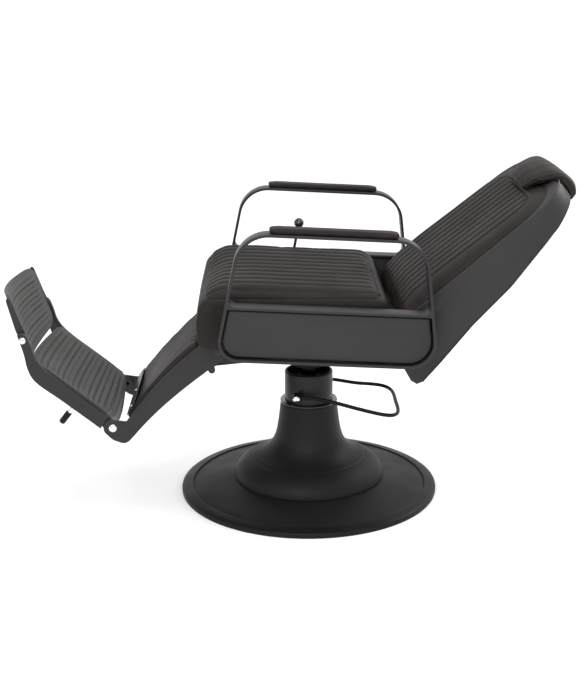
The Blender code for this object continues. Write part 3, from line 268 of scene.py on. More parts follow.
skirt_line = [(0.205, BELL_FOOT + 0.004), (0.2025, 0.054), (0.196, 0.0655), (0.186, 0.0765)]
skirt_line += [(0.174, 0.0858), (0.162, 0.0925), (0.1545, 0.095)]
neck_line = [(0.1505, 0.0985), (0.144, 0.101), (0.132, 0.1065), (0.115, 0.1185), (0.0985, 0.138)]
neck_line += [(0.089, 0.163), (0.0835, 0.192), (0.0798, 0.22), (0.0772, 0.245)]
bell_outside = [tuple(p) for p in smooth_line(skirt_line, 5) + smooth_line(neck_line, 5)]
bell_inside = [(radius - 0.0035, z) for radius, z in bell_outside[::-1]]
bell_profile = [(0.2035, BELL_FOOT), (0.205, BELL_FOOT + 0.0015), *bell_outside, (0.0768, 0.2485)]
bell_profile += [(0.075, 0.2502), (0.0735, 0.2502), *bell_inside, (0.201, BELL_FOOT)]
install("bell_spun", turned("bell", bell_profile), base_black, ["bell_cover"])

# ---- Pump column and ram ------------------------------------------------------------------------
# The pump is a machined steel tube with a foot flange, painted satin black. Its open top shows the dark
# guide that the chromed ram slides in, and a thin glossy ring closes the gap between tube and bell.

collar_profile = [(0.0655, 0.2506), (0.077, 0.2506), (0.0777, 0.2516), (0.0777, 0.254), (0.0765, 0.2556)]
collar_profile += [(0.074, 0.2562), (0.0655, 0.2562)]
install("collar_ring", turned("collar", collar_profile), gloss_black, ["bell_collar"])

column_satin = finish_material(
    "column_satin", powder_texture, 0.12, 0.0001, specular=0.28, Color=(0.0075, 0.0074, 0.0074),
    Rubbed_Color=(0.04, 0.04, 0.04), Grain_Scale=900.0, Roughness=0.38, Rubbing=0.5,
)
housing_profile = [(0.058, 0.0083), (0.12, 0.0083), (0.12, 0.0215), (0.07, 0.026), (0.065, 0.031)]
housing_profile += [(0.065, 0.333), (0.0646, 0.335), (0.0634, 0.3368), (0.0616, 0.3378), (0.0604, 0.3379)]
housing_profile += [(0.0592, 0.3374), (0.0585, 0.3362), (0.058, 0.334)]
install("pump_tube_turned", turned("tube", housing_profile), column_satin, ["pump_housing"])

guide_profile = [(0.0224, 0.296), (0.0576, 0.296), (0.0576, 0.3165), (0.0568, 0.3178), (0.042, 0.318)]
guide_profile += [(0.04, 0.3172), (0.033, 0.3172), (0.031, 0.319), (0.0295, 0.3222), (0.025, 0.3222)]
guide_profile += [(0.0224, 0.319)]
install("ram_guide_turned", turned("guide", guide_profile), trim_black, ["ram_guide"])

ram_profile = [(0, 0.06), (0.021, 0.06), (0.022, 0.0612)]
ram_profile += [(0.022, 0.3985), (0.021, 0.3998), (0, 0.3998)]
install("ram_ground", turned("ram_bar", ram_profile, 96), chrome, ["ram"])

# ---- Pump pedal ---------------------------------------------------------------------------------
# A round bar bent to a loop and painted, welded to a sleeve on each end of the pump's cross shaft. A
# chromed button-head screw holds each sleeve.

SLEEVE_INNER, SLEEVE_OUTER = 0.07, 0.09


def joint_axes(name, turn=0.0):
    """Axes at a joint's pivot, turned about X by some degrees."""
    pivot = next(joint["pos_m"] for joint in frame["joints"] if joint["name"] == name)
    return Matrix.Translation(pivot) @ Matrix.Rotation(radians(turn), 4, "X")


pedal_pivot = joint_axes("pedal_pump").translation


def wire_mesh(name, routes, radius, closed=False, segments=3):
    """Round bars or cords along lines of points, as a mesh."""
    curve = bpy.data.curves.new(name, "CURVE")
    curve.dimensions = "3D"
    curve.bevel_depth = radius
    curve.bevel_resolution = segments
    curve.use_fill_caps = not closed
    for route in routes:
        spline = curve.splines.new("POLY")
        spline.points.add(len(route) - 1)
        for point, spot in zip(spline.points, route):
            point.co = (*spot, 1)
        spline.use_cyclic_u = closed
    return curve_mesh(name, curve)


def curve_mesh(name, curve, place=None):
    """The mesh of a curve, with its caps joined to its sides."""
    holder = bpy.data.objects.new(name, curve)
    bpy.context.scene.collection.objects.link(holder)
    bpy.context.view_layer.update()
    raw = bpy.data.meshes.new_from_object(holder.evaluated_get(bpy.context.evaluated_depsgraph_get()))
    bpy.data.objects.remove(holder)
    shape = bmesh.new()
    shape.from_mesh(raw)
    bmesh.ops.remove_doubles(shape, verts=shape.verts, dist=2e-6)
    bmesh.ops.recalc_face_normals(shape, faces=shape.faces)
    if place:
        bmesh.ops.transform(shape, matrix=place, verts=shape.verts)
    mesh = bpy.data.meshes.new(name)
    shape.to_mesh(mesh)
    shape.free()
    return mesh


def joined(name, *meshes):
    """Several meshes as one."""
    shape = bmesh.new()
    for mesh in meshes:
        shape.from_mesh(mesh)
    merged = bpy.data.meshes.new(name)
    shape.to_mesh(merged)
    shape.free()
    return merged


def moved(mesh, place):
    mesh.transform(place)
    return mesh


def along_x(y, z):
    """Lays a turned piece's axis along X, at (y, z)."""
    return Matrix.Translation((0, y, z)) @ Matrix.Rotation(pi / 2, 4, "Y")


reach, half_width, drop = 0.2735, 0.128, 0.039
hub_middle = (SLEEVE_INNER + SLEEVE_OUTER) / 2
pedal_route = [(0.02, 0, -0.06), (0.2, 0.15, 0.03), (0.39, 0.46, 0.21), (0.62, 0.7, 0.58)]
pedal_route += [(0.8, 0.96, 0.8), (0.91, 0.93, 0.92), (0.975, 0.5, 0.98), (1, -0.3, 1)]
near_side = [
    (hub_middle + out * (half_width - hub_middle), pedal_pivot.y + along * reach, pedal_pivot.z - down * drop)
    for along, out, down in pedal_route
]
far_side = [(-x, y, z) for x, y, z in near_side[::-1]]
pedal_line = [*near_side, (0, pedal_pivot.y + reach, pedal_pivot.z - drop), *far_side]
pedal_bar = wire_mesh("pedal_bar", [smooth_line(pedal_line, 10)], 0.005, segments=4)
sleeve = [(0.0062, SLEEVE_INNER), (0.0105, SLEEVE_INNER), (0.0112, SLEEVE_INNER + 0.001)]
sleeve += [(0.0112, SLEEVE_OUTER - 0.001), (0.0105, SLEEVE_OUTER), (0.0062, SLEEVE_OUTER)]
shaft_line = along_x(pedal_pivot.y, pedal_pivot.z)
sleeves = [moved(turned("sleeve", [(r, side * z) for r, z in sleeve], 40), shaft_line) for side in (1, -1)]
install("pedal_loop_bent", joined("pedal", pedal_bar, *sleeves), trim_black, ["pedal_loop"])


def button_head(name, radius, height, socket):
    """A button-head screw's head, with a hexagonal socket, standing on the XY plane."""
    shape = bmesh.new()
    sides = 36
    turns = [2 * pi * i / sides for i in range(sides)]
    dome = [(radius, 0), (radius, height * 0.25)]
    dome += [(radius * cos(a), height * (0.25 + 0.75 * sin(a))) for a in (0.3, 0.6, 0.9)]
    hexagon = [socket / cos((t % (pi / 3)) - pi / 6) for t in turns]
    rings = [[(r * cos(t), r * sin(t), z) for t in turns] for r, z in dome]
    for z in (height * 0.97, height * 0.93, height * 0.25):
        rings.append([(h * cos(t), h * sin(t), z) for h, t in zip(hexagon, turns)])
    rings = [[shape.verts.new(spot) for spot in ring] for ring in rings]
    for low, high in zip(rings, rings[1:]):
        for i in range(sides):
            shape.faces.new((low[i], low[(i + 1) % sides], high[(i + 1) % sides], high[i]))
    shape.faces.new(rings[0][::-1])
    shape.faces.new(rings[-1])
    return as_mesh(shape, name)


def geometry_tree(name, sockets):
    """A Geometry Nodes tree with these (label, kind) inputs besides its geometry."""
    tree = bpy.data.node_groups.new(name, "GeometryNodeTree")
    tree.interface.new_socket("Geometry", in_out="INPUT", socket_type="NodeSocketGeometry")
    for label, kind in sockets:
        tree.interface.new_socket(label, in_out="INPUT", socket_type=kind)
    tree.interface.new_socket("Geometry", in_out="OUTPUT", socket_type="NodeSocketGeometry")
    return tree, tree.nodes.new("NodeGroupInput").outputs, tree.nodes.new("NodeGroupOutput").inputs


def grown(name, data, tree, **values):
    """The mesh that a Geometry Nodes tree makes from a curve or a mesh."""
    holder = bpy.data.objects.new(name, data)
    bpy.context.scene.collection.objects.link(holder)
    modifier = holder.modifiers.new(name, "NODES")
    modifier.node_group = tree
    for item in tree.interface.items_tree:
        if item.in_out == "INPUT" and item.name.replace(" ", "_") in values:
            modifier[item.identifier] = values[item.name.replace(" ", "_")]
    bpy.context.view_layer.update()
    mesh = bpy.data.meshes.new_from_object(holder.evaluated_get(bpy.context.evaluated_depsgraph_get()))
    bpy.data.objects.remove(holder)
    mesh.name = name
    return mesh


def fastener_tree():
    """Sets a screw on each point, turned to face the way that the point's "facing" says."""
    sockets = [("Screw", "NodeSocketObject"), ("Material", "NodeSocketMaterial")]
    tree, given, result = geometry_tree("fasteners", sockets)
    screw = node(tree, "GeometryNodeObjectInfo", Object=given["Screw"])
    facing = node(tree, "GeometryNodeInputNamedAttribute", [("data_type", "FLOAT_VECTOR")], Name="facing")
    turn = node(tree, "FunctionNodeAlignRotationToVector", [("axis", "Z")], Vector=facing.outputs[0])
    put = node(
        tree, "GeometryNodeInstanceOnPoints", Points=given["Geometry"], Instance=screw.outputs["Geometry"],
        Rotation=turn.outputs[0],
    )
    real = node(tree, "GeometryNodeRealizeInstances", Geometry=put.outputs[0])
    dressed = node(tree, "GeometryNodeSetMaterial", Geometry=real.outputs[0], Material=given["Material"])
    tree.links.new(dressed.outputs[0], result["Geometry"])
    return tree


fasteners = fastener_tree()


def screws(name, places, radius, height, socket):
    """Screw heads at (place, facing) pairs, as one mesh."""
    head = bpy.data.objects.new(name + "_head", button_head(name + "_head", radius, height, socket))
    bpy.context.scene.collection.objects.link(head)
    points = bpy.data.meshes.new(name + "_points")
    points.from_pydata([tuple(spot) for spot, _ in places], [], [])
    facing = points.attributes.new("facing", "FLOAT_VECTOR", "POINT")
    facing.data.foreach_set("vector", [value for _, way in places for value in way])
    mesh = grown(name, points, fasteners, Screw=head, Material=chrome)
    bpy.data.objects.remove(head)
    return mesh


shaft_bar = [(0, -SLEEVE_OUTER), (0.006, -SLEEVE_OUTER), (0.006, SLEEVE_OUTER), (0, SLEEVE_OUTER)]
shaft = moved(turned("shaft", shaft_bar, 32), shaft_line)
ends = [((side * SLEEVE_OUTER, pedal_pivot.y, pedal_pivot.z), (side, 0, 0)) for side in (1, -1)]
pedal_screws = screws("pedal_screws", ends, 0.0092, 0.0048, 0.0032)
install("pedal_shaft_ground", joined("pedal_shaft", shaft, pedal_screws), chrome, ["pedal_shaft"])

# ---- Side loops and cross tubes -----------------------------------------------------------------
# Each side of the seat is one flat steel bar, 50 mm wide, bent round to a loop and welded shut, with a
# rail across it at cushion height. The loops are powder coated in a fine charcoal texture.

powder_coat = finish_material(
    "powder_coat", powder_texture, 0.35, 0.0002, specular=0.28, Color=(0.0185, 0.0182, 0.02),
    Rubbed_Color=(0.075, 0.074, 0.078), Grain_Scale=1100.0, Roughness=0.42, Rubbing=0.9,
)
SEAT_HEIGHT = 0.458
LOOP_HEIGHT = 0.317
RAIL_LOW, RAIL_HIGH = 0.1305, 0.1365
LOOP_BAR = 0.007
seat_axes = Matrix.Translation((0, 0, SEAT_HEIGHT)) @ Matrix.Rotation(radians(-3.03), 4, "X")
ACROSS = Matrix(((0, 0, 1, 0), (1, 0, 0, 0), (0, 1, 0, 0), (0, 0, 0, 1)))
loop_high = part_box("side_loop_left")[1]


def rounded(corners, steps=12):
    """An outline from (a, b, radius) corners, each rounded by an arc of its radius."""
    outline = []
    neighbours = zip(corners[-1:] + corners[:-1], corners, corners[1:] + corners[:1])
    for before, (a, b, radius), after in neighbours:
        corner = Vector((a, b))
        if not radius:
            outline.append((a, b))
            continue
        into = (Vector(before[:2]) - corner).normalized()
        out = (Vector(after[:2]) - corner).normalized()
        half = into.angle(out) / 2
        centre = corner + (into + out).normalized() * radius / sin(half)
        start = corner + into * radius / sin(half) * cos(half) - centre
        end = corner + out * radius / sin(half) * cos(half) - centre
        sweep = start.angle_signed(end)
        for turn in (-sweep * i / steps for i in range(steps + 1)):
            x, y = start
            spot = (x * cos(turn) - y * sin(turn), x * sin(turn) + y * cos(turn))
            outline.append((centre.x + spot[0], centre.y + spot[1]))
    return outline


def plate(name, outline, x_low, x_high, axes, holes=(), edge=0.0012, level=False):
    """A plate with rounded edges. Its outline is in the axes' (y, z), or in their (x, y) if it lies level."""
    curve = bpy.data.curves.new(name, "CURVE")
    curve.dimensions = "2D"
    curve.fill_mode = "BOTH"
    curve.bevel_depth = edge
    curve.bevel_resolution = 2
    curve.offset = -edge
    curve.extrude = (x_high - x_low) / 2 - edge
    for loop in (outline, *holes):
        spline = curve.splines.new("POLY")
        spline.points.add(len(loop) - 1)
        for point, (a, b) in zip(spline.points, loop):
            point.co = (a, b, 0, 1)
        spline.use_cyclic_u = True
    middle = (x_low + x_high) / 2
    shift = Matrix.Translation((0, 0, middle)) if level else Matrix.Translation((middle, 0, 0)) @ ACROSS
    return curve_mesh(name, curve, axes @ shift)


def span(side, inner, outer):
    return tuple(sorted((side * inner, side * outer)))


def window(low, high, inset, radii):
    """The outline between the leaning posts of a side loop, from one height to another."""
    lean = 0.158
    slant = inset * sqrt(1 + lean**2)
    front, rear = -0.2404 + slant, 0.3059 - slant
    a, b, c, d = radii
    corners = [(front + lean * low, low, a), (rear - lean * low, low, b)]
    return rounded(corners + [(rear - lean * high, high, c), (front + lean * high, high, d)])


loop_outline = window(0, LOOP_HEIGHT, 0, (0.05, 0.065, 0.085, 0.085))
lower_window = window(LOOP_BAR, RAIL_LOW, LOOP_BAR, (0.043, 0.058, 0, 0))
arm_window = window(RAIL_HIGH, LOOP_HEIGHT - LOOP_BAR, LOOP_BAR, (0.018, 0.018, 0.078, 0.078))
for side, word in ((1, "left"), (-1, "right")):
    reach = span(side, loop_high.x - 0.05, loop_high.x)
    loop = plate("loop", loop_outline, *reach, seat_axes, [lower_window, arm_window], 0.0011)
    install(f"side_loop_bar_{word}", loop, powder_coat, [f"side_loop_{word}"])


def kept_edges(mesh_node, bevel):
    """A copy of a frame node's mesh with its points merged, its flat faces whole and its edges softened."""
    shape = bmesh.new()
    shape.from_mesh(frame["nodes"][mesh_node].data)
    bmesh.ops.remove_doubles(shape, verts=shape.verts, dist=1e-5)
    bmesh.ops.dissolve_limit(shape, angle_limit=radians(0.5), verts=shape.verts, edges=shape.edges)
    if bevel:
        sharp = [edge for edge in shape.edges if edge.is_manifold and edge.calc_face_angle() > radians(40)]
        bmesh.ops.bevel(
            shape, geom=sharp, offset=bevel, segments=2, profile=0.5, affect="EDGES", clamp_overlap=True,
        )
    return as_mesh(shape, mesh_node)


for name in ("front_cross_tube", "rear_cross_tube"):
    install(f"{name}_welded", kept_edges(name, 0.0012), powder_coat, [name])

# ---- Side panels --------------------------------------------------------------------------------
# A padded board fills the lower half of each loop. It is wrapped in smooth grey vinyl, drawn tight over
# thin foam, and stands a few millimetres back from the bar all round.


def vinyl_grain_group():
    """Small pebbles with painted shade in the valleys between them, fine creases and slow changes of tone, as
    on embossed vinyl.
    """
    group, given, result = shader_group(
        "vinyl_grain",
        [
            ("Color", "NodeSocketColor", (0.06, 0.055, 0.05, 1)),
            ("Rubbed Color", "NodeSocketColor", (0.08, 0.075, 0.07, 1)),
            ("Pebble Scale", "NodeSocketFloat", 850.0),
            ("Crease", "NodeSocketFloat", 0.3),
            ("Roughness", "NodeSocketFloat", 0.5),
        ],
        [("Color", "NodeSocketColor"), ("Roughness", "NodeSocketFloat"), ("Height", "NodeSocketFloat")],
    )
    place = node(group, "ShaderNodeTexCoord").outputs["Object"]
    drift = node(group, "ShaderNodeTexNoise", Vector=place, Scale=40.0, Detail=3.0).outputs["Color"]
    pulled = node(group, "ShaderNodeMix", [("data_type", "VECTOR")], _0=0.004, _4=place, _5=drift)
    cells = [("feature", "DISTANCE_TO_EDGE")]
    pebble = node(group, "ShaderNodeTexVoronoi", cells, Vector=pulled.outputs[1], Scale=given["Pebble Scale"])
    domed = ranged(group, pebble.outputs["Distance"], 0.0, 0.35, 0.0, 1.0)
    crease = node(group, "ShaderNodeTexNoise", Vector=place, Scale=120.0, Detail=6.0, Roughness=0.7)
    height = plus(group, domed, times(group, crease.outputs[0], given["Crease"]))
    cloud = node(group, "ShaderNodeTexNoise", Vector=place, Scale=5.0, Detail=5.0, Roughness=0.6).outputs[0]
    tone = blend(group, ranged(group, cloud, 0.35, 0.7, 0.0, 1.0), given["Color"], given["Rubbed Color"])
    # Painted shade: the colour darkens in the valleys between the pebbles and lightens a little on their
    # tops.
    painted_pebble_shade = shade(group, tone, ranged(group, domed, 0.0, 1.0, 0.8, 1.05))
    rough = plus(group, given["Roughness"], ranged(group, cloud, 0.3, 0.7, 0.06, -0.06))
    put_out(group, result, Color=painted_pebble_shade, Roughness=rough, Height=height)
    return group


vinyl_grain = vinyl_grain_group()
side_vinyl = finish_material(
    "side_vinyl", vinyl_grain, 0.25, 0.0002, specular=0.24, Color=(0.0255, 0.025, 0.026),
    Rubbed_Color=(0.03, 0.029, 0.03), Pebble_Scale=1100.0, Crease=0.25, Roughness=0.5,
)
panel_low, panel_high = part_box("side_panel_left")
panel_outline = window(0.0105, RAIL_LOW - 0.0035, 0.0105, (0.04, 0.055, 0.004, 0.004))
for side, word in ((1, "left"), (-1, "right")):
    board = plate("board", panel_outline, *span(side, panel_low.x, panel_high.x), seat_axes, edge=0.0045)
    install(f"side_panel_wrapped_{word}", board, side_vinyl, [f"side_panel_{word}"], sharp=80)

# ---- Seat cushion -------------------------------------------------------------------------------
# A block of foam in a sewn vinyl cover: a top panel quilted in a dozen long channels that run over the
# rounded front, smooth boxing down the sides, and a twin row of stitches along the border seam.

vinyl = finish_material(
    "vinyl", vinyl_grain, 0.3, 0.0002, specular=0.08, Color=(0.0205, 0.0168, 0.0157),
    Rubbed_Color=(0.0265, 0.0222, 0.0208), Pebble_Scale=900.0, Crease=0.35, Roughness=0.5,
)
thread = finish_material(
    "thread", powder_texture, 0.4, 0.0001, specular=0.3, Color=(0.05, 0.047, 0.045),
    Rubbed_Color=(0.06, 0.06, 0.06), Grain_Scale=2500.0, Roughness=0.6, Rubbing=0.0,
)


def baked(piece):
    """Makes what a piece's modifiers give its own mesh."""
    bpy.context.view_layer.update()
    piece.data = bpy.data.meshes.new_from_object(piece.evaluated_get(bpy.context.evaluated_depsgraph_get()))
    piece.modifiers.clear()
    return piece


def points_of(piece, axes, what="co"):
    """A piece's points or normals as an array, in some axes."""
    data = piece.data.vertices if what == "co" else piece.data.vertex_normals
    values = np.empty(len(data) * 3, np.float32)
    data.foreach_get("co" if what == "co" else "vector", values)
    turn = np.array(axes.inverted(), float)
    values = values.reshape(-1, 3).astype(float) @ turn[:3, :3].T
    return values + turn[:3, 3] if what == "co" else values


def set_points(piece, values, axes):
    turn = np.array(axes, float)
    piece.data.vertices.foreach_set("co", (values @ turn[:3, :3].T + turn[:3, 3]).astype(np.float32).ravel())
    piece.data.update()


def foam(mesh_node, voxel, axes, shape=None, soften=6):
    """An even, softened skin over a frame node's solid, which shape may first change in the given axes."""
    mesh = kept_edges(mesh_node, 0)
    piece = bpy.data.objects.new(mesh_node + "_foam", mesh)
    bpy.context.scene.collection.objects.link(piece)
    if shape:
        set_points(piece, shape(points_of(piece, axes)), axes)
    even = piece.modifiers.new("even", "REMESH")
    even.mode = "VOXEL"
    even.voxel_size = voxel
    soft = piece.modifiers.new("soft", "SMOOTH")
    soft.factor = 0.5
    soft.iterations = soften
    return baked(piece)


def blown(piece, cap, pressure=4.0):
    """Swells a cover as foam does, by a cloth simulation in which no point moves further than the cap."""
    scene = bpy.context.scene
    start = points_of(piece, Matrix())
    cloth = piece.modifiers.new("cloth", "CLOTH")
    cloth.settings.use_pressure = True
    cloth.settings.uniform_pressure_force = pressure
    cloth.settings.effector_weights.gravity = 0
    cloth.point_cache.frame_start, cloth.point_cache.frame_end = 1, 20
    for step in range(1, 21):
        scene.frame_set(step)
    baked(piece)
    scene.frame_set(1)
    move = points_of(piece, Matrix()) - start
    far = np.linalg.norm(move, axis=1, keepdims=True)
    set_points(piece, start + move * np.minimum(1, cap / np.maximum(far, 1e-9)), Matrix())
    return piece


def refined(piece, levels=1):
    """One more level of fineness."""
    finer = piece.modifiers.new("finer", "SUBSURF")
    finer.levels = finer.render_levels = levels
    return baked(piece)


def pressed(piece, depth, axes):
    """Presses each point inwards along its normal by its own depth."""
    set_points(piece, points_of(piece, axes) - points_of(piece, axes, "normal") * depth[:, None], axes)


def valley(distance, width):
    return np.exp(-((distance / width) ** 2))


def cover(piece, name, material, nodes):
    """Finishes a padded piece."""
    piece.name = name
    mesh = piece.data
    mesh.materials.clear()
    mesh.materials.append(material)
    mesh.shade_smooth()
    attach(piece, frame["nodes"][nodes[0]]["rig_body"])
    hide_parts(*nodes)
    return piece


CHANNEL = 0.0418
SEAT_HALF, SEAT_FRONT, SEAT_REAR = 0.284, -0.292, 0.19


def seam_level(x, v):
    """How high the seat's border seam runs over its plate."""
    side = 0.137 + 0.04 * (v + 0.25)
    front = 0.119 + 0.016 * (x / SEAT_HALF) ** 2
    return np.where(v < -0.24, front + (side - front) * np.clip((v + 0.285) / 0.045, 0, 1), side)


seat = foam("seat_cushion", 0.006, seat_axes, lambda p: p * (0.988, 1, 1), 10)
x, v, w = points_of(seat, seat_axes).T
outward = np.clip((np.abs(x) - (SEAT_HALF - 0.034)) / 0.034, 0, 1)
turn_in = 0.03 * (1 - np.sqrt(1 - outward**2))
v = v + turn_in * np.clip((-0.225 - v) / (-0.225 - SEAT_FRONT), 0, 1)
v = v - 0.6 * turn_in * np.clip((v - 0.14) / (SEAT_REAR - 0.14), 0, 1)
crown = np.clip((np.abs(x) - 0.205) / (SEAT_HALF - 0.205), 0, 1)
w = w - 0.013 * crown**2 * np.clip((w - 0.06) / 0.06, 0, 1)
w = w - 0.008 * np.clip((0.02 - w) / 0.01, 0, 1) * np.clip((np.abs(x) - 0.215) / 0.02, 0, 1)
set_points(seat, np.column_stack([x, v, w]), seat_axes)
refined(blown(seat, 0.005))
local, facing = points_of(seat, seat_axes), points_of(seat, seat_axes, "normal")
x, v, w = local.T
over_seam = w - seam_level(x, v)
panel = np.clip(over_seam / 0.004, 0, 1) * np.clip((0.253 - np.abs(x)) / 0.004, 0, 1) * (facing[:, 2] > -0.2)
to_line = np.abs((np.abs(x) + CHANNEL / 2) % CHANNEL - CHANNEL / 2)
depth = panel * (0.004 * valley(to_line, 0.0042) - 0.0012 * np.sin(pi * to_line / CHANNEL) ** 2)
depth += 0.0032 * valley(over_seam, 0.0028) * (facing[:, 2] < 0.97)
upright = np.abs(facing[:, 2]) < 0.8
depth -= 0.0022 * upright * np.clip(-over_seam / 0.006, 0, 1) * valley(over_seam + 0.016, 0.012)
pressed(seat, depth, seat_axes)
seat = cover(seat, "seat_cushion_cover", vinyl, ["seat_cushion"])


def stitch_tree():
    """Lays a stitch every so often along a curve."""
    sockets = [(label, "NodeSocketFloat") for label in ("Spacing", "Length", "Thickness")]
    tree, given, result = geometry_tree("stitches", [*sockets, ("Material", "NodeSocketMaterial")])
    apart = [("mode", "LENGTH")]
    spots = node(tree, "GeometryNodeCurveToPoints", apart, Curve=given["Geometry"], Length=given["Spacing"])
    bead = node(tree, "GeometryNodeMeshUVSphere", Segments=6, Rings=4, Radius=0.5)
    size = node(tree, "ShaderNodeCombineXYZ", X=given["Thickness"], Y=given["Thickness"], Z=given["Length"])
    put = node(
        tree, "GeometryNodeInstanceOnPoints", Points=spots.outputs["Points"], Instance=bead.outputs["Mesh"],
        Rotation=spots.outputs["Rotation"], Scale=size.outputs[0],
    )
    real = node(tree, "GeometryNodeRealizeInstances", Geometry=put.outputs[0])
    dressed = node(tree, "GeometryNodeSetMaterial", Geometry=real.outputs[0], Material=given["Material"])
    tree.links.new(dressed.outputs[0], result["Geometry"])
    return tree


stitches = stitch_tree()


def laid(piece, axes, route, lift=0.0002):
    """Where rays from (start, direction) pairs, in some axes, first meet a piece, lifted off it a little."""
    mesh = piece.data
    tree = BVHTree.FromPolygons([v.co for v in mesh.vertices], [tuple(p.vertices) for p in mesh.polygons])
    turn = axes.to_3x3()
    hits = [tree.ray_cast(axes @ Vector(start), turn @ Vector(way)) for start, way in route]
    return [hit[0] + hit[1] * lift for hit in hits if hit[0] is not None]


def sewn(name, lines, body, spacing=0.0062, length=0.0044, thickness=0.0011):
    """Rows of stitches along lines of points."""
    curve = bpy.data.curves.new(name, "CURVE")
    curve.dimensions = "3D"
    for line in lines:
        spline = curve.splines.new("POLY")
        spline.points.add(len(line) - 1)
        for point, spot in zip(spline.points, line):
            point.co = (*spot, 1)
    mesh = grown(name, curve, stitches, Spacing=spacing, Length=length, Thickness=thickness, Material=thread)
    return install(name, mesh, thread, body=body)


def walked(outline, step):
    """Evenly spaced (place, outward) pairs along an anticlockwise outline."""
    loop = [Vector(p) for p in outline]
    walk = []
    for a, b in zip(loop, loop[1:] + loop[:1]):
        count = max(round((b - a).length / step), 1)
        along = (b - a).normalized() if (b - a).length else Vector((1, 0))
        walk += [(a.lerp(b, i / count), Vector((along.y, -along.x))) for i in range(count)]
    return walk


seat_plan = rounded([
    (-SEAT_HALF, SEAT_FRONT, 0.034), (SEAT_HALF, SEAT_FRONT, 0.034),
    (SEAT_HALF, SEAT_REAR, 0.02), (-SEAT_HALF, SEAT_REAR, 0.02),
])
seam_rows = []
for gap in (-0.0036, 0.004):
    route = []
    for spot, out in walked(seat_plan, 0.006):
        level = float(seam_level(spot.x, spot.y)) + gap
        route.append(((*(spot + out * 0.05), level), (*-out, 0)))
    row = laid(seat, seat_axes, route)
    seam_rows.append(row + row[:1])
sewn("seat_stitches", seam_rows, "seat_frame")

# ---- Arm pads -----------------------------------------------------------------------------------
# A slim strip of foam on a hardwood batten, wrapped in the seat's vinyl and closed by a seam low on its
# side. Two screws through the bar hold it, out of sight.

for side, word in ((1, "left"), (-1, "right")):
    pad = foam(f"arm_pad_{word}", 0.0025, seat_axes, lambda p: p * (1, 1, 1.006), 5)
    refined(blown(pad, 0.002))
    local, facing = points_of(pad, seat_axes), points_of(pad, seat_axes, "normal")
    low = np.abs(facing[:, 2]) < 0.75
    pressed(pad, 0.0009 * low * valley(local[:, 2] - (LOOP_HEIGHT + 0.0045), 0.0011), seat_axes)
    cover(pad, f"arm_pad_cover_{word}", vinyl, [f"arm_pad_{word}"])

# ---- Backrest casing ----------------------------------------------------------------------------
# The back is a plywood box, thick at the foot and thin at the top, padded and wrapped in the grey side
# vinyl. It turns on a chromed shaft through its foot. Dark piping closes its rear edges and front seam.

back_axes = joint_axes("recline", 39.8)
BACK_HALF_WIDTH, BACK_TOP, BACK_SHOULDER = 0.28, 0.478, 0.13
SEAM_LEVEL = 0.0446


def inside_arch(x, s, top=BACK_TOP, half=BACK_HALF_WIDTH, corner=BACK_SHOULDER + 0.01):
    """How far (x, s) lies inside the rounded outline of the back."""
    a, b = np.abs(x) - (half - corner), s - (top - corner)
    return np.where((a > 0) & (b > 0), corner - np.hypot(a, b), np.minimum(half - np.abs(x), top - s))


install("back_casing", kept_edges("back_shell", 0.0022), side_vinyl, ["back_shell"], sharp=50)

piping_black = finish_material(
    "piping_black", vinyl_grain, 0.3, 0.0001, specular=0.4, Color=(0.01, 0.0085, 0.008),
    Rubbed_Color=(0.016, 0.014, 0.013), Pebble_Scale=1400.0, Crease=0.2, Roughness=0.42,
)
rear_line = [(-0.0846, -0.1107), (-0.0185, -0.0998), (0.1002, -0.0762), (0.2325, -0.0602)]
rear_line += [(0.3567, -0.0306), (0.42, -0.0157), (BACK_TOP + 0.009, -0.0002)]


def arch_half(s, top=BACK_TOP + 0.009, half=BACK_HALF_WIDTH, corner=BACK_SHOULDER):
    """Half the width of the back at a height, under its rounded shoulders."""
    over = min(max(s - (top - corner), 0), corner)
    return half - corner + sqrt(corner**2 - over**2)


def level_at(line, s):
    """The level of a line of (s, n) points at some s."""
    return float(np.interp(s, [a for a, _ in line], [b for _, b in line]))


def edge_cord(side, level, inset, start, end=BACK_TOP + 0.009):
    """A line along the casing's outline, at a level given by its height."""
    stations = [start + (end - start) * (1 - (1 - i / 70) ** 2) for i in range(71)]
    return [back_axes @ Vector((side * (arch_half(s) - inset), s, level(s))) for s in stations]


cords = []
for side in (1, -1):
    cords.append(edge_cord(side, lambda s: level_at(rear_line, s) + 0.001, 0.0008, -0.0846))
    cords.append(edge_cord(side, lambda s: SEAM_LEVEL - 0.0005, 0.0008, -0.028))
install("back_piping", wire_mesh("piping", cords, 0.0021), piping_black, body="backrest")

# ---- Backrest pad -------------------------------------------------------------------------------
# The sitter's side of the back: foam quilted in long channels inside a wide, plain border roll. A row of
# stitches beside the piping closes the cover, up both sides and over the shoulders.

BACK_BORDER = 0.072
BACK_CHANNEL = 0.0407


def pad_section(points):
    """Lowers the face of the pad before it swells, and sinks its underside into the casing."""
    x, s, n = points.T
    under = (n < SEAM_LEVEL + 0.002) & (s > -0.031)
    return np.column_stack([x * 0.993, s, np.where(under, n - 0.009, n - 0.003)])


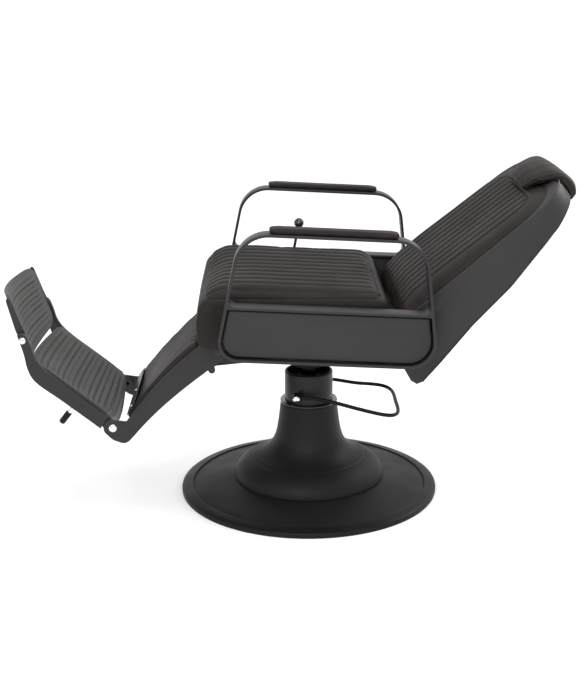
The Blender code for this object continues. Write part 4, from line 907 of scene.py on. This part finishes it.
back = foam("back_pad", 0.0058, back_axes, pad_section, 8)
local = points_of(back, back_axes)
edge = np.clip(1 - inside_arch(local[:, 0], local[:, 1]) / 0.075, 0, 1)
raised = np.clip((local[:, 2] - 0.036) / 0.012, 0, 1) * np.clip((local[:, 1] + 0.03) / 0.06, 0, 1)
local[:, 2] -= 0.017 * edge**2 * raised
set_points(back, local, back_axes)
refined(blown(back, 0.005))
local, facing = points_of(back, back_axes), points_of(back, back_axes, "normal")
x, s, n = local.T
within = inside_arch(x, s)
outward = np.maximum(facing[:, 2], -0.7 * facing[:, 1])
face = np.clip((outward - 0.3) / 0.3, 0, 1) * np.clip((s + 0.052) / 0.02, 0, 1)
inside = np.clip((within - BACK_BORDER) / 0.003, 0, 1)
to_line = np.abs((np.abs(x) + BACK_CHANNEL / 2) % BACK_CHANNEL - BACK_CHANNEL / 2)
depth = face * (inside * 0.0036 * valley(to_line, 0.0038) + 0.003 * valley(within - BACK_BORDER, 0.0032))
depth -= face * inside * 0.001 * np.sin(pi * to_line / BACK_CHANNEL) ** 2
pressed(back, depth, back_axes)
cover(back, "back_pad_cover", vinyl, ["back_pad"])


def side_route(level):
    """Rays that look in at the back from all round its outline, at one level."""
    top = BACK_TOP + 0.001
    plan = rounded([
        (-BACK_HALF_WIDTH, -0.03, 0), (BACK_HALF_WIDTH, -0.03, 0),
        (BACK_HALF_WIDTH, top, BACK_SHOULDER), (-BACK_HALF_WIDTH, top, BACK_SHOULDER),
    ])
    walk = [(spot, out) for spot, out in walked(plan, 0.006) if out.y > -0.5]
    return [((*(spot + out * 0.04), level), (*-out, 0)) for spot, out in walk]


row = laid(back, back_axes, side_route(SEAM_LEVEL + 0.0052))
sewn("back_stitches", [row], "backrest")

# ---- Headrest -----------------------------------------------------------------------------------
# A saddle-shaped cushion that clips over the top of the back on a flat steel tongue. Its front panel is
# edged with twin piping on both sides, with plain boxing below.

head = foam("headrest_pad", 0.0035, back_axes, None, 8)
refined(blown(head, 0.004))
local, facing = points_of(head, back_axes), points_of(head, back_axes, "normal")
x, s, n = local.T
FLAP_EDGE = [(0.405, 0.095), (0.412, 0.102), (0.455, 0.136), (0.495, 0.156), (0.511, 0.165), (0.516, 0.175)]


def flap_half(s):
    """Half the width of the headrest's front flap at a height."""
    return np.interp(s, [a for a, _ in FLAP_EDGE], [b for _, b in FLAP_EDGE])


front = np.clip((n - 0.03) / 0.015, 0, 1)
pressed(head, 0.0016 * front * valley(np.abs(x) - (flap_half(s) - 0.006), 0.003), back_axes)
cover(head, "headrest_cover", vinyl, ["headrest_pad"])


def flap_cord(side, gap):
    """Rays that look down at the flap, and over the crest, along its edge."""
    route = []
    for i in range(8, 61):
        turn = radians(-12 + 118 * i / 60)
        s, n = 0.452 - 0.3 * cos(turn), 0.03 + 0.3 * sin(turn)
        near = 0.452 - 0.055 * cos(turn)
        route.append(((side * (float(flap_half(near)) - gap), s, n), (0, cos(turn), -sin(turn))))
    return route


head_cords = []
for side in (1, -1):
    for gap in (0.004, 0.009):
        head_cords.append(laid(head, back_axes, flap_cord(side, gap), 0.0003))
head_piping = wire_mesh("head_piping", head_cords, 0.0014)
install("headrest_piping", head_piping, piping_black, body="headrest")

# ---- Legrest ------------------------------------------------------------------------------------
# Two long steel side plates hang from the seat's front tube, with a padded calf board between them. A
# bent strip screwed across its foot holds the cover down.

leg_axes = joint_axes("legrest_swing", 36.42)
LEG_LENGTH, LEG_X, PLATE = 0.3414, 0.184, 0.006
LEG_FACE = LEG_X + PLATE
STRIP_S = 0.284


def arc(y, z, radius, start, end, steps):
    """Points of an arc about (y, z), from one angle to another in degrees."""
    turns = [radians(start + (end - start) * i / steps) for i in range(steps + 1)]
    return [(y + radius * cos(t), z + radius * sin(t)) for t in turns]


def leg_top(s):
    return 0.0402 - 0.0598 * (s / LEG_LENGTH) ** 2


def leg_bottom(s):
    return -0.0245 - 0.0335 * (s / LEG_LENGTH) ** 3


stations = [0.03 + 0.2734 * i / 24 for i in range(25)]
heel = [(-LEG_LENGTH - 0.0245, 0.0), (-LEG_LENGTH - 0.021, -0.022), (-LEG_LENGTH - 0.014, -0.036)]
heel += [(-LEG_LENGTH - 0.003, -0.05), (-LEG_LENGTH + 0.01, -0.0535)]
leg_outline = arc(0, 0, 0.026, -95, 95, 16) + [(-s, leg_top(s)) for s in stations]
leg_outline += arc(-LEG_LENGTH, 0, 0.0245, 75, 175, 12)
leg_outline += [tuple(p) for p in smooth_line(heel, 5)] + [(-s, leg_bottom(s)) for s in stations[::-1]]
boss_outline = arc(-LEG_LENGTH, 0, 0.0225, 60, 175, 12) + [(-LEG_LENGTH - 0.019, -0.022)]
boss_outline += [(-LEG_LENGTH - 0.012, -0.036), (-LEG_LENGTH - 0.002, -0.047), (-LEG_LENGTH + 0.009, -0.0505)]
boss_outline += [(-0.306, -0.046), (-0.3165, 0.003)]
bead_outline = [(-s, leg_top(s) - 0.0055) for s in stations[1:-1]]
bead_outline += [(-s, leg_top(s) - 0.0075) for s in stations[-2:0:-1]]
cap_profile = [(0, 0), (0.0095, 0), (0.0095, 0.0012), (0.008, 0.002), (0, 0.002)]
for side, word in ((1, "left"), (-1, "right")):
    blade = plate("blade", leg_outline, *span(side, LEG_X, LEG_FACE), leg_axes, edge=0.001)
    boss = plate("boss", boss_outline, *span(side, LEG_X + 0.004, LEG_FACE + 0.0012), leg_axes, edge=0.0008)
    bead = plate("bead", bead_outline, *span(side, LEG_X + 0.004, LEG_FACE + 0.0008), leg_axes, edge=0.0006)
    stand = Matrix.Translation((side * (LEG_FACE - 0.0005), 0, 0)) @ Matrix.Rotation(side * pi / 2, 4, "Y")
    pivot_cap = moved(turned("cap", cap_profile, 32), leg_axes @ stand)
    leg = joined("leg", blade, boss, bead, pivot_cap)
    install(f"leg_blade_{word}", leg, powder_coat, [f"leg_plate_{word}"])


calf = foam("calf_pad", 0.0055, leg_axes, lambda p: p * (0.99, 1, 1) - (0, 0, 0.001), 8)
refined(blown(calf, 0.004))
local, facing = points_of(calf, leg_axes), points_of(calf, leg_axes, "normal")
top_face = np.clip((facing[:, 2] - 0.4) / 0.3, 0, 1)
across = local[:, 0]
gather = 0.0012 * np.sin(across * 2 * pi / 0.013) * valley(local[:, 1] + 0.292, 0.016)
cup = 0.008 * (1 - (across / 0.18) ** 2) * np.clip((-local[:, 1] - 0.06) / 0.2, 0, 1)
seam = 0.0022 * valley(np.abs(across) - 0.16, 0.003)
pressed(calf, top_face * (gather + cup + seam), leg_axes)
cover(calf, "calf_pad_cover", vinyl, ["calf_pad"])

install("calf_strip_bent", kept_edges("calf_strip", 0.0006), powder_coat, ["calf_strip"])
strip_level = leg_top(STRIP_S) + 0.0074
strip_facing = leg_axes.to_3x3() @ Vector((0, 0.12, 1)).normalized()
strip_screws = [(leg_axes @ Vector((x, -STRIP_S, strip_level)), strip_facing) for x in (-0.13, 0, 0.13)]
calf_screws = screws("calf_screws", strip_screws, 0.0048, 0.0024, 0.0018)
install("calf_screws", calf_screws, chrome, body="legrest")

# ---- Footrest -----------------------------------------------------------------------------------
# Bent side rails bolted to the legrest carry a dished rubber foot pad, ribbed across against slipping. A
# chromed peg with a rubber tip under it meets the floor when the legrest is down.

foot_axes = joint_axes("footrest_fold", -38.4)
FOOT_X, TOE_S, TOE_N = 0.1765, 0.3157, 0.0513
foot_rubber = finish_material(
    "foot_rubber", powder_texture, 0.35, 0.0002, specular=0.35, Color=(0.052, 0.0515, 0.05),
    Rubbed_Color=(0.08, 0.08, 0.078), Grain_Scale=800.0, Roughness=0.5, Rubbing=0.5,
)
neck_outline = arc(0, 0, 0.016, -85, 85, 14)
neck_outline += [(-0.02, 0.0158), (-0.05, 0.014), (-0.05, -0.014), (-0.02, -0.0158)]
rail_top = [(-0.0285, 0.0165), (-0.07, 0.0163), (-0.1166, 0.017), (-0.17, 0.0182), (-0.2122, 0.02)]
rail_top += [(-0.242, 0.024), (-0.268, 0.034), (-0.29, 0.05), (-TOE_S + 0.004, TOE_N + 0.0125)]
rail_low = [(-TOE_S - 0.018, TOE_N + 0.002), (-0.2956, 0.0255), (-0.2717, 0.004), (-0.26, -0.005)]
rail_low += [(-0.242, -0.015), (-0.2137, -0.0205), (-0.1535, -0.0195), (-0.09, -0.02), (-0.024, -0.0208)]
rail_outline = [tuple(p) for p in smooth_line(rail_top, 5)]
rail_outline += [(-TOE_S - a, TOE_N + b) for a, b in ((0.006, 0.015), (0.014, 0.012), (0.018, 0.007))]
rail_outline += [tuple(p) for p in smooth_line(rail_low, 5)]
for side, word in ((1, "left"), (-1, "right")):
    neck = plate("neck", neck_outline, *span(side, FOOT_X, FOOT_X + PLATE), foot_axes, edge=0.0008)
    rail = plate("rail", rail_outline, *span(side, FOOT_X, LEG_FACE), foot_axes, edge=0.0012)
    bent = joined("rail", neck, rail)
    install(f"foot_rail_bent_{word}", bent, powder_coat, [f"foot_rail_{word}"])


def ribbed_pad(name, half_width, ends, section, ribs, axes, border, corner, bows, roll=0.0):
    """A dished rubber pad with ribs across it inside a plain border, rounded corners and bowed ends."""
    (start, end), (edge, sag, thickness) = ends, section
    shape = bmesh.new()
    columns, rows = 48, ribs * 10
    ribbed_start, ribbed_end = start + border, end - border
    sheets = []
    for sheet in (0, 1):
        grid = []
        for j in range(rows + 1):
            along = j / rows
            s = start + (end - start) * along
            near = max(corner - min(s - start, end - s), 0)
            half = half_width - corner + sqrt(max(corner**2 - near**2, 0))
            wave = abs(sin(pi * ribs * (s - ribbed_start) / (ribbed_end - ribbed_start))) ** 0.7
            faded = min(max(min(s - ribbed_start, ribbed_end - s) / 0.004, 0), 1)
            line = []
            for i in range(columns + 1):
                x = half * (2 * i / columns - 1)
                arch = 1 - (x / half_width) ** 2
                share = faded * min(max((half_width - abs(x) - border) / 0.006, 0), 1)
                sunk = thickness if sheet else 0.003 + (0.005 * (1 - wave) - 0.003) * share
                bowed = s - bows[0] * arch * (1 - along) ** 5 + bows[1] * arch * along**5
                level = edge - sag * arch - sunk - roll * (1 - along) ** 9
                line.append(shape.verts.new((x, -bowed, level)))
            grid.append(line)
        sheets.append(grid)
    for grid in sheets:
        for near, far in zip(grid, grid[1:]):
            for i in range(columns):
                shape.faces.new((near[i], near[i + 1], far[i + 1], far[i]))
    upper, lower = sheets
    for j in range(rows):
        for i in (0, columns):
            shape.faces.new((upper[j][i], upper[j + 1][i], lower[j + 1][i], lower[j][i]))
    for j in (0, rows):
        for i in range(columns):
            shape.faces.new((upper[j][i], upper[j][i + 1], lower[j][i + 1], lower[j][i]))
    bmesh.ops.transform(shape, matrix=axes, verts=shape.verts)
    return as_mesh(shape, name)


FOOT_EDGE, FOOT_SAG, FOOT_THICKNESS = 0.026, 0.038, 0.012
foot_section = (FOOT_EDGE, FOOT_SAG, FOOT_THICKNESS)
foot_mesh = ribbed_pad(
    "ribs", FOOT_X - 0.001, (0.012, 0.25), foot_section, 15, foot_axes,
    border=0.004, corner=0.012, bows=(0.032, 0.018), roll=0.01,
)
install("foot_pad_ribbed", foot_mesh, foot_rubber, ["foot_pad"], sharp=60)


def bright_bolts(kind, y, z, proud, radius, height, socket):
    """A pair of chromed bolts at (y, z), with their heads just proud of the leg plates."""
    nodes = [f"{kind}_{word}" for word in ("left", "right")]
    places = [((side * (LEG_FACE + proud), y, z), (side, 0, 0)) for side in (1, -1)]
    heads = screws(f"{kind}_heads", places, radius, height, socket)
    bolts = joined(f"{kind}s", *(kept_edges(name, 0.0003) for name in nodes), heads)
    install(f"{kind}s_bright", bolts, chrome, nodes)


bright_bolts("foot_bolt", *foot_axes.translation[1:], 0.0012, 0.0105, 0.0042, 0.0036)

PEG_X, PEG_S, PEG_RADIUS, PEG_FOOT = 0.1, 0.105, 0.0065, -0.078
peg_stand = foot_axes @ Matrix.Translation((PEG_X, -PEG_S, 0))
peg_inner = (PEG_X - PEG_RADIUS) / (FOOT_X - 0.001)
peg_top = FOOT_EDGE - FOOT_SAG * (1 - peg_inner**2) - FOOT_THICKNESS - 0.0006
peg_profile = [(0, PEG_FOOT), (PEG_RADIUS, PEG_FOOT), (PEG_RADIUS, peg_top), (0, peg_top)]
install("peg_rod_ground", moved(turned("peg", peg_profile, 48), peg_stand), chrome, ["peg_rod"])
install("peg_tip_moulded", kept_edges("peg_tip", 0.0006), trim_black, ["peg_tip"])

# ---- Toe flap -----------------------------------------------------------------------------------
# A second, smaller ribbed pad on two slim arms, hinged on a bright bolt at the end of each rail.

toe_axes = joint_axes("toe_tilt", -72.2)
TOE_ARM_X, TOE_END = 0.1695, 0.114
arm_outline = arc(0, 0, 0.011, -90, 75, 14)
arm_outline += [(-0.04, 0.008), (-TOE_END + 0.01, 0.006), (-TOE_END + 0.004, 0.004)]
arm_outline += [(-TOE_END + 0.002, 0.0), (-TOE_END + 0.005, -0.0045), (-TOE_END + 0.012, -0.006)]
arm_outline += [(-0.03, -0.011)]
for side, word in ((1, "left"), (-1, "right")):
    arm = plate("arm", arm_outline, *span(side, TOE_ARM_X, TOE_ARM_X + PLATE), toe_axes, edge=0.001)
    install(f"toe_arm_bent_{word}", arm, powder_coat, [f"toe_arm_{word}"])
toe_mesh = ribbed_pad(
    "toe_ribs", TOE_ARM_X - 0.001, (-0.055, TOE_END), (0.01, 0.032, 0.01), 11, toe_axes,
    border=0.012, corner=0.03, bows=(0.016, 0.004),
)
install("toe_pad_ribbed", toe_mesh, foot_rubber, ["toe_pad"], sharp=60)
bright_bolts("toe_bolt", *toe_axes.translation[1:], 0.0008, 0.0085, 0.0036, 0.003)

# ---- Remaining steelwork ------------------------------------------------------------------------
# The hub, seat plate, hinges, links, gas spring and lever keep their made shapes. Each one gets softened
# edges and the finish that its record gives it.

plywood_grain, given, result = shader_group(
    "plywood_grain",
    [
        ("Color", "NodeSocketColor", (0.42, 0.27, 0.15, 1)),
        ("Dark Color", "NodeSocketColor", (0.3, 0.18, 0.09, 1)),
    ],
    [("Color", "NodeSocketColor"), ("Height", "NodeSocketFloat")],
)
spot = node(plywood_grain, "ShaderNodeTexCoord").outputs["Object"]
stretch = [("operation", "MULTIPLY")]
drawn = node(plywood_grain, "ShaderNodeVectorMath", stretch, _0=spot, _1=(40.0, 3.0, 40.0))
fibre = node(
    plywood_grain, "ShaderNodeTexNoise", Vector=drawn.outputs[0], Scale=4.0, Detail=8.0, Roughness=0.65,
)
tone = blend(plywood_grain, fibre.outputs[0], given["Color"], given["Dark Color"])
put_out(plywood_grain, result, Color=tone, Height=fibre.outputs[0])
plywood = finish_material(
    "plywood", plywood_grain, 0.3, 0.0003, Color=(0.42, 0.27, 0.15), Dark_Color=(0.3, 0.18, 0.09),
)
finishes = {
    "powder_coat": powder_coat, "base_black": base_black, "gloss_black": gloss_black, "vinyl": vinyl,
    "side_vinyl": side_vinyl, "foot_rubber": foot_rubber, "chrome": chrome, "steel": bare_steel,
    "plywood": plywood,
}
slots = {row["node"]: row["material_slot"] for row in frame["record"]["subparts"]}
for name in sorted(frame["nodes"]):
    if not frame["nodes"][name].hide_render:
        slot = slots[name]
        install(f"{name}_made", kept_edges(name, 0.0006), finishes[slot], [name])

# ---- Floor, light and camera --------------------------------------------------------------------
# A pale studio floor under broad soft lights, seen from the chair's left side and a little above.

floor_mesh = bpy.data.meshes.new("floor")
REACH, BELOW = 8, -0.0005
corners = [(-REACH, -REACH, BELOW), (REACH, -REACH, BELOW), (REACH, REACH, BELOW), (-REACH, REACH, BELOW)]
floor_mesh.from_pydata(corners, [], [(0, 1, 2, 3)])
floor = bpy.data.objects.new("floor", floor_mesh)
bpy.context.scene.collection.objects.link(floor)
paper = bpy.data.materials.new("paper")
paper.use_nodes = True
paper_shader = paper.node_tree.nodes["Principled BSDF"].inputs
paper_shader["Base Color"].default_value = (0.86, 0.86, 0.86, 1)
paper_shader["Roughness"].default_value = 0.9
paper_shader["Specular IOR Level"].default_value = 0.1
paper_shader["Emission Color"].default_value = (1, 1, 1, 1)
paper_shader["Emission Strength"].default_value = 0.22
floor_mesh.materials.append(paper)

world = bpy.data.worlds.new("studio")
world.use_nodes = True
sky = world.node_tree.nodes["Background"].inputs
sky["Color"].default_value = (1, 1, 1, 1)
sky["Strength"].default_value = 1.0
bpy.context.scene.world = world


def softbox(name, place, aim, size, power):
    """A square area light at a place, turned to an aim."""
    lamp = bpy.data.lights.new(name, "AREA")
    lamp.energy = power
    lamp.size = size
    holder = bpy.data.objects.new(name, lamp)
    holder.location = place
    holder.rotation_euler = (Vector(aim) - Vector(place)).to_track_quat("-Z", "Y").to_euler()
    bpy.context.scene.collection.objects.link(holder)


softbox("key", (3.0, -0.6, 2.3), (0, 0, 0.5), 1.6, 46)
softbox("top", (0.3, 0.6, 3.2), (0, 0, 0.5), 2.0, 26)
softbox("back", (-1.5, 2.4, 2.2), (0, 0, 0.6), 1.4, 30)

lens = bpy.data.cameras.new("camera")
lens.lens = 66.06
lens.shift_x = -0.0357
lens.clip_start = 0.05
camera = bpy.data.objects.new("camera", lens)
bpy.context.scene.collection.objects.link(camera)
heading, dip = 0.0379, 0.2931
ahead = Vector((-cos(heading) * cos(dip), sin(heading) * cos(dip), -sin(dip)))
camera.location = (3.3101, -0.1057, 1.3915)
camera.rotation_euler = ahead.to_track_quat("-Z", "Y").to_euler()
bpy.context.scene.camera = camera
bpy.context.scene.view_settings.view_transform = "Standard"
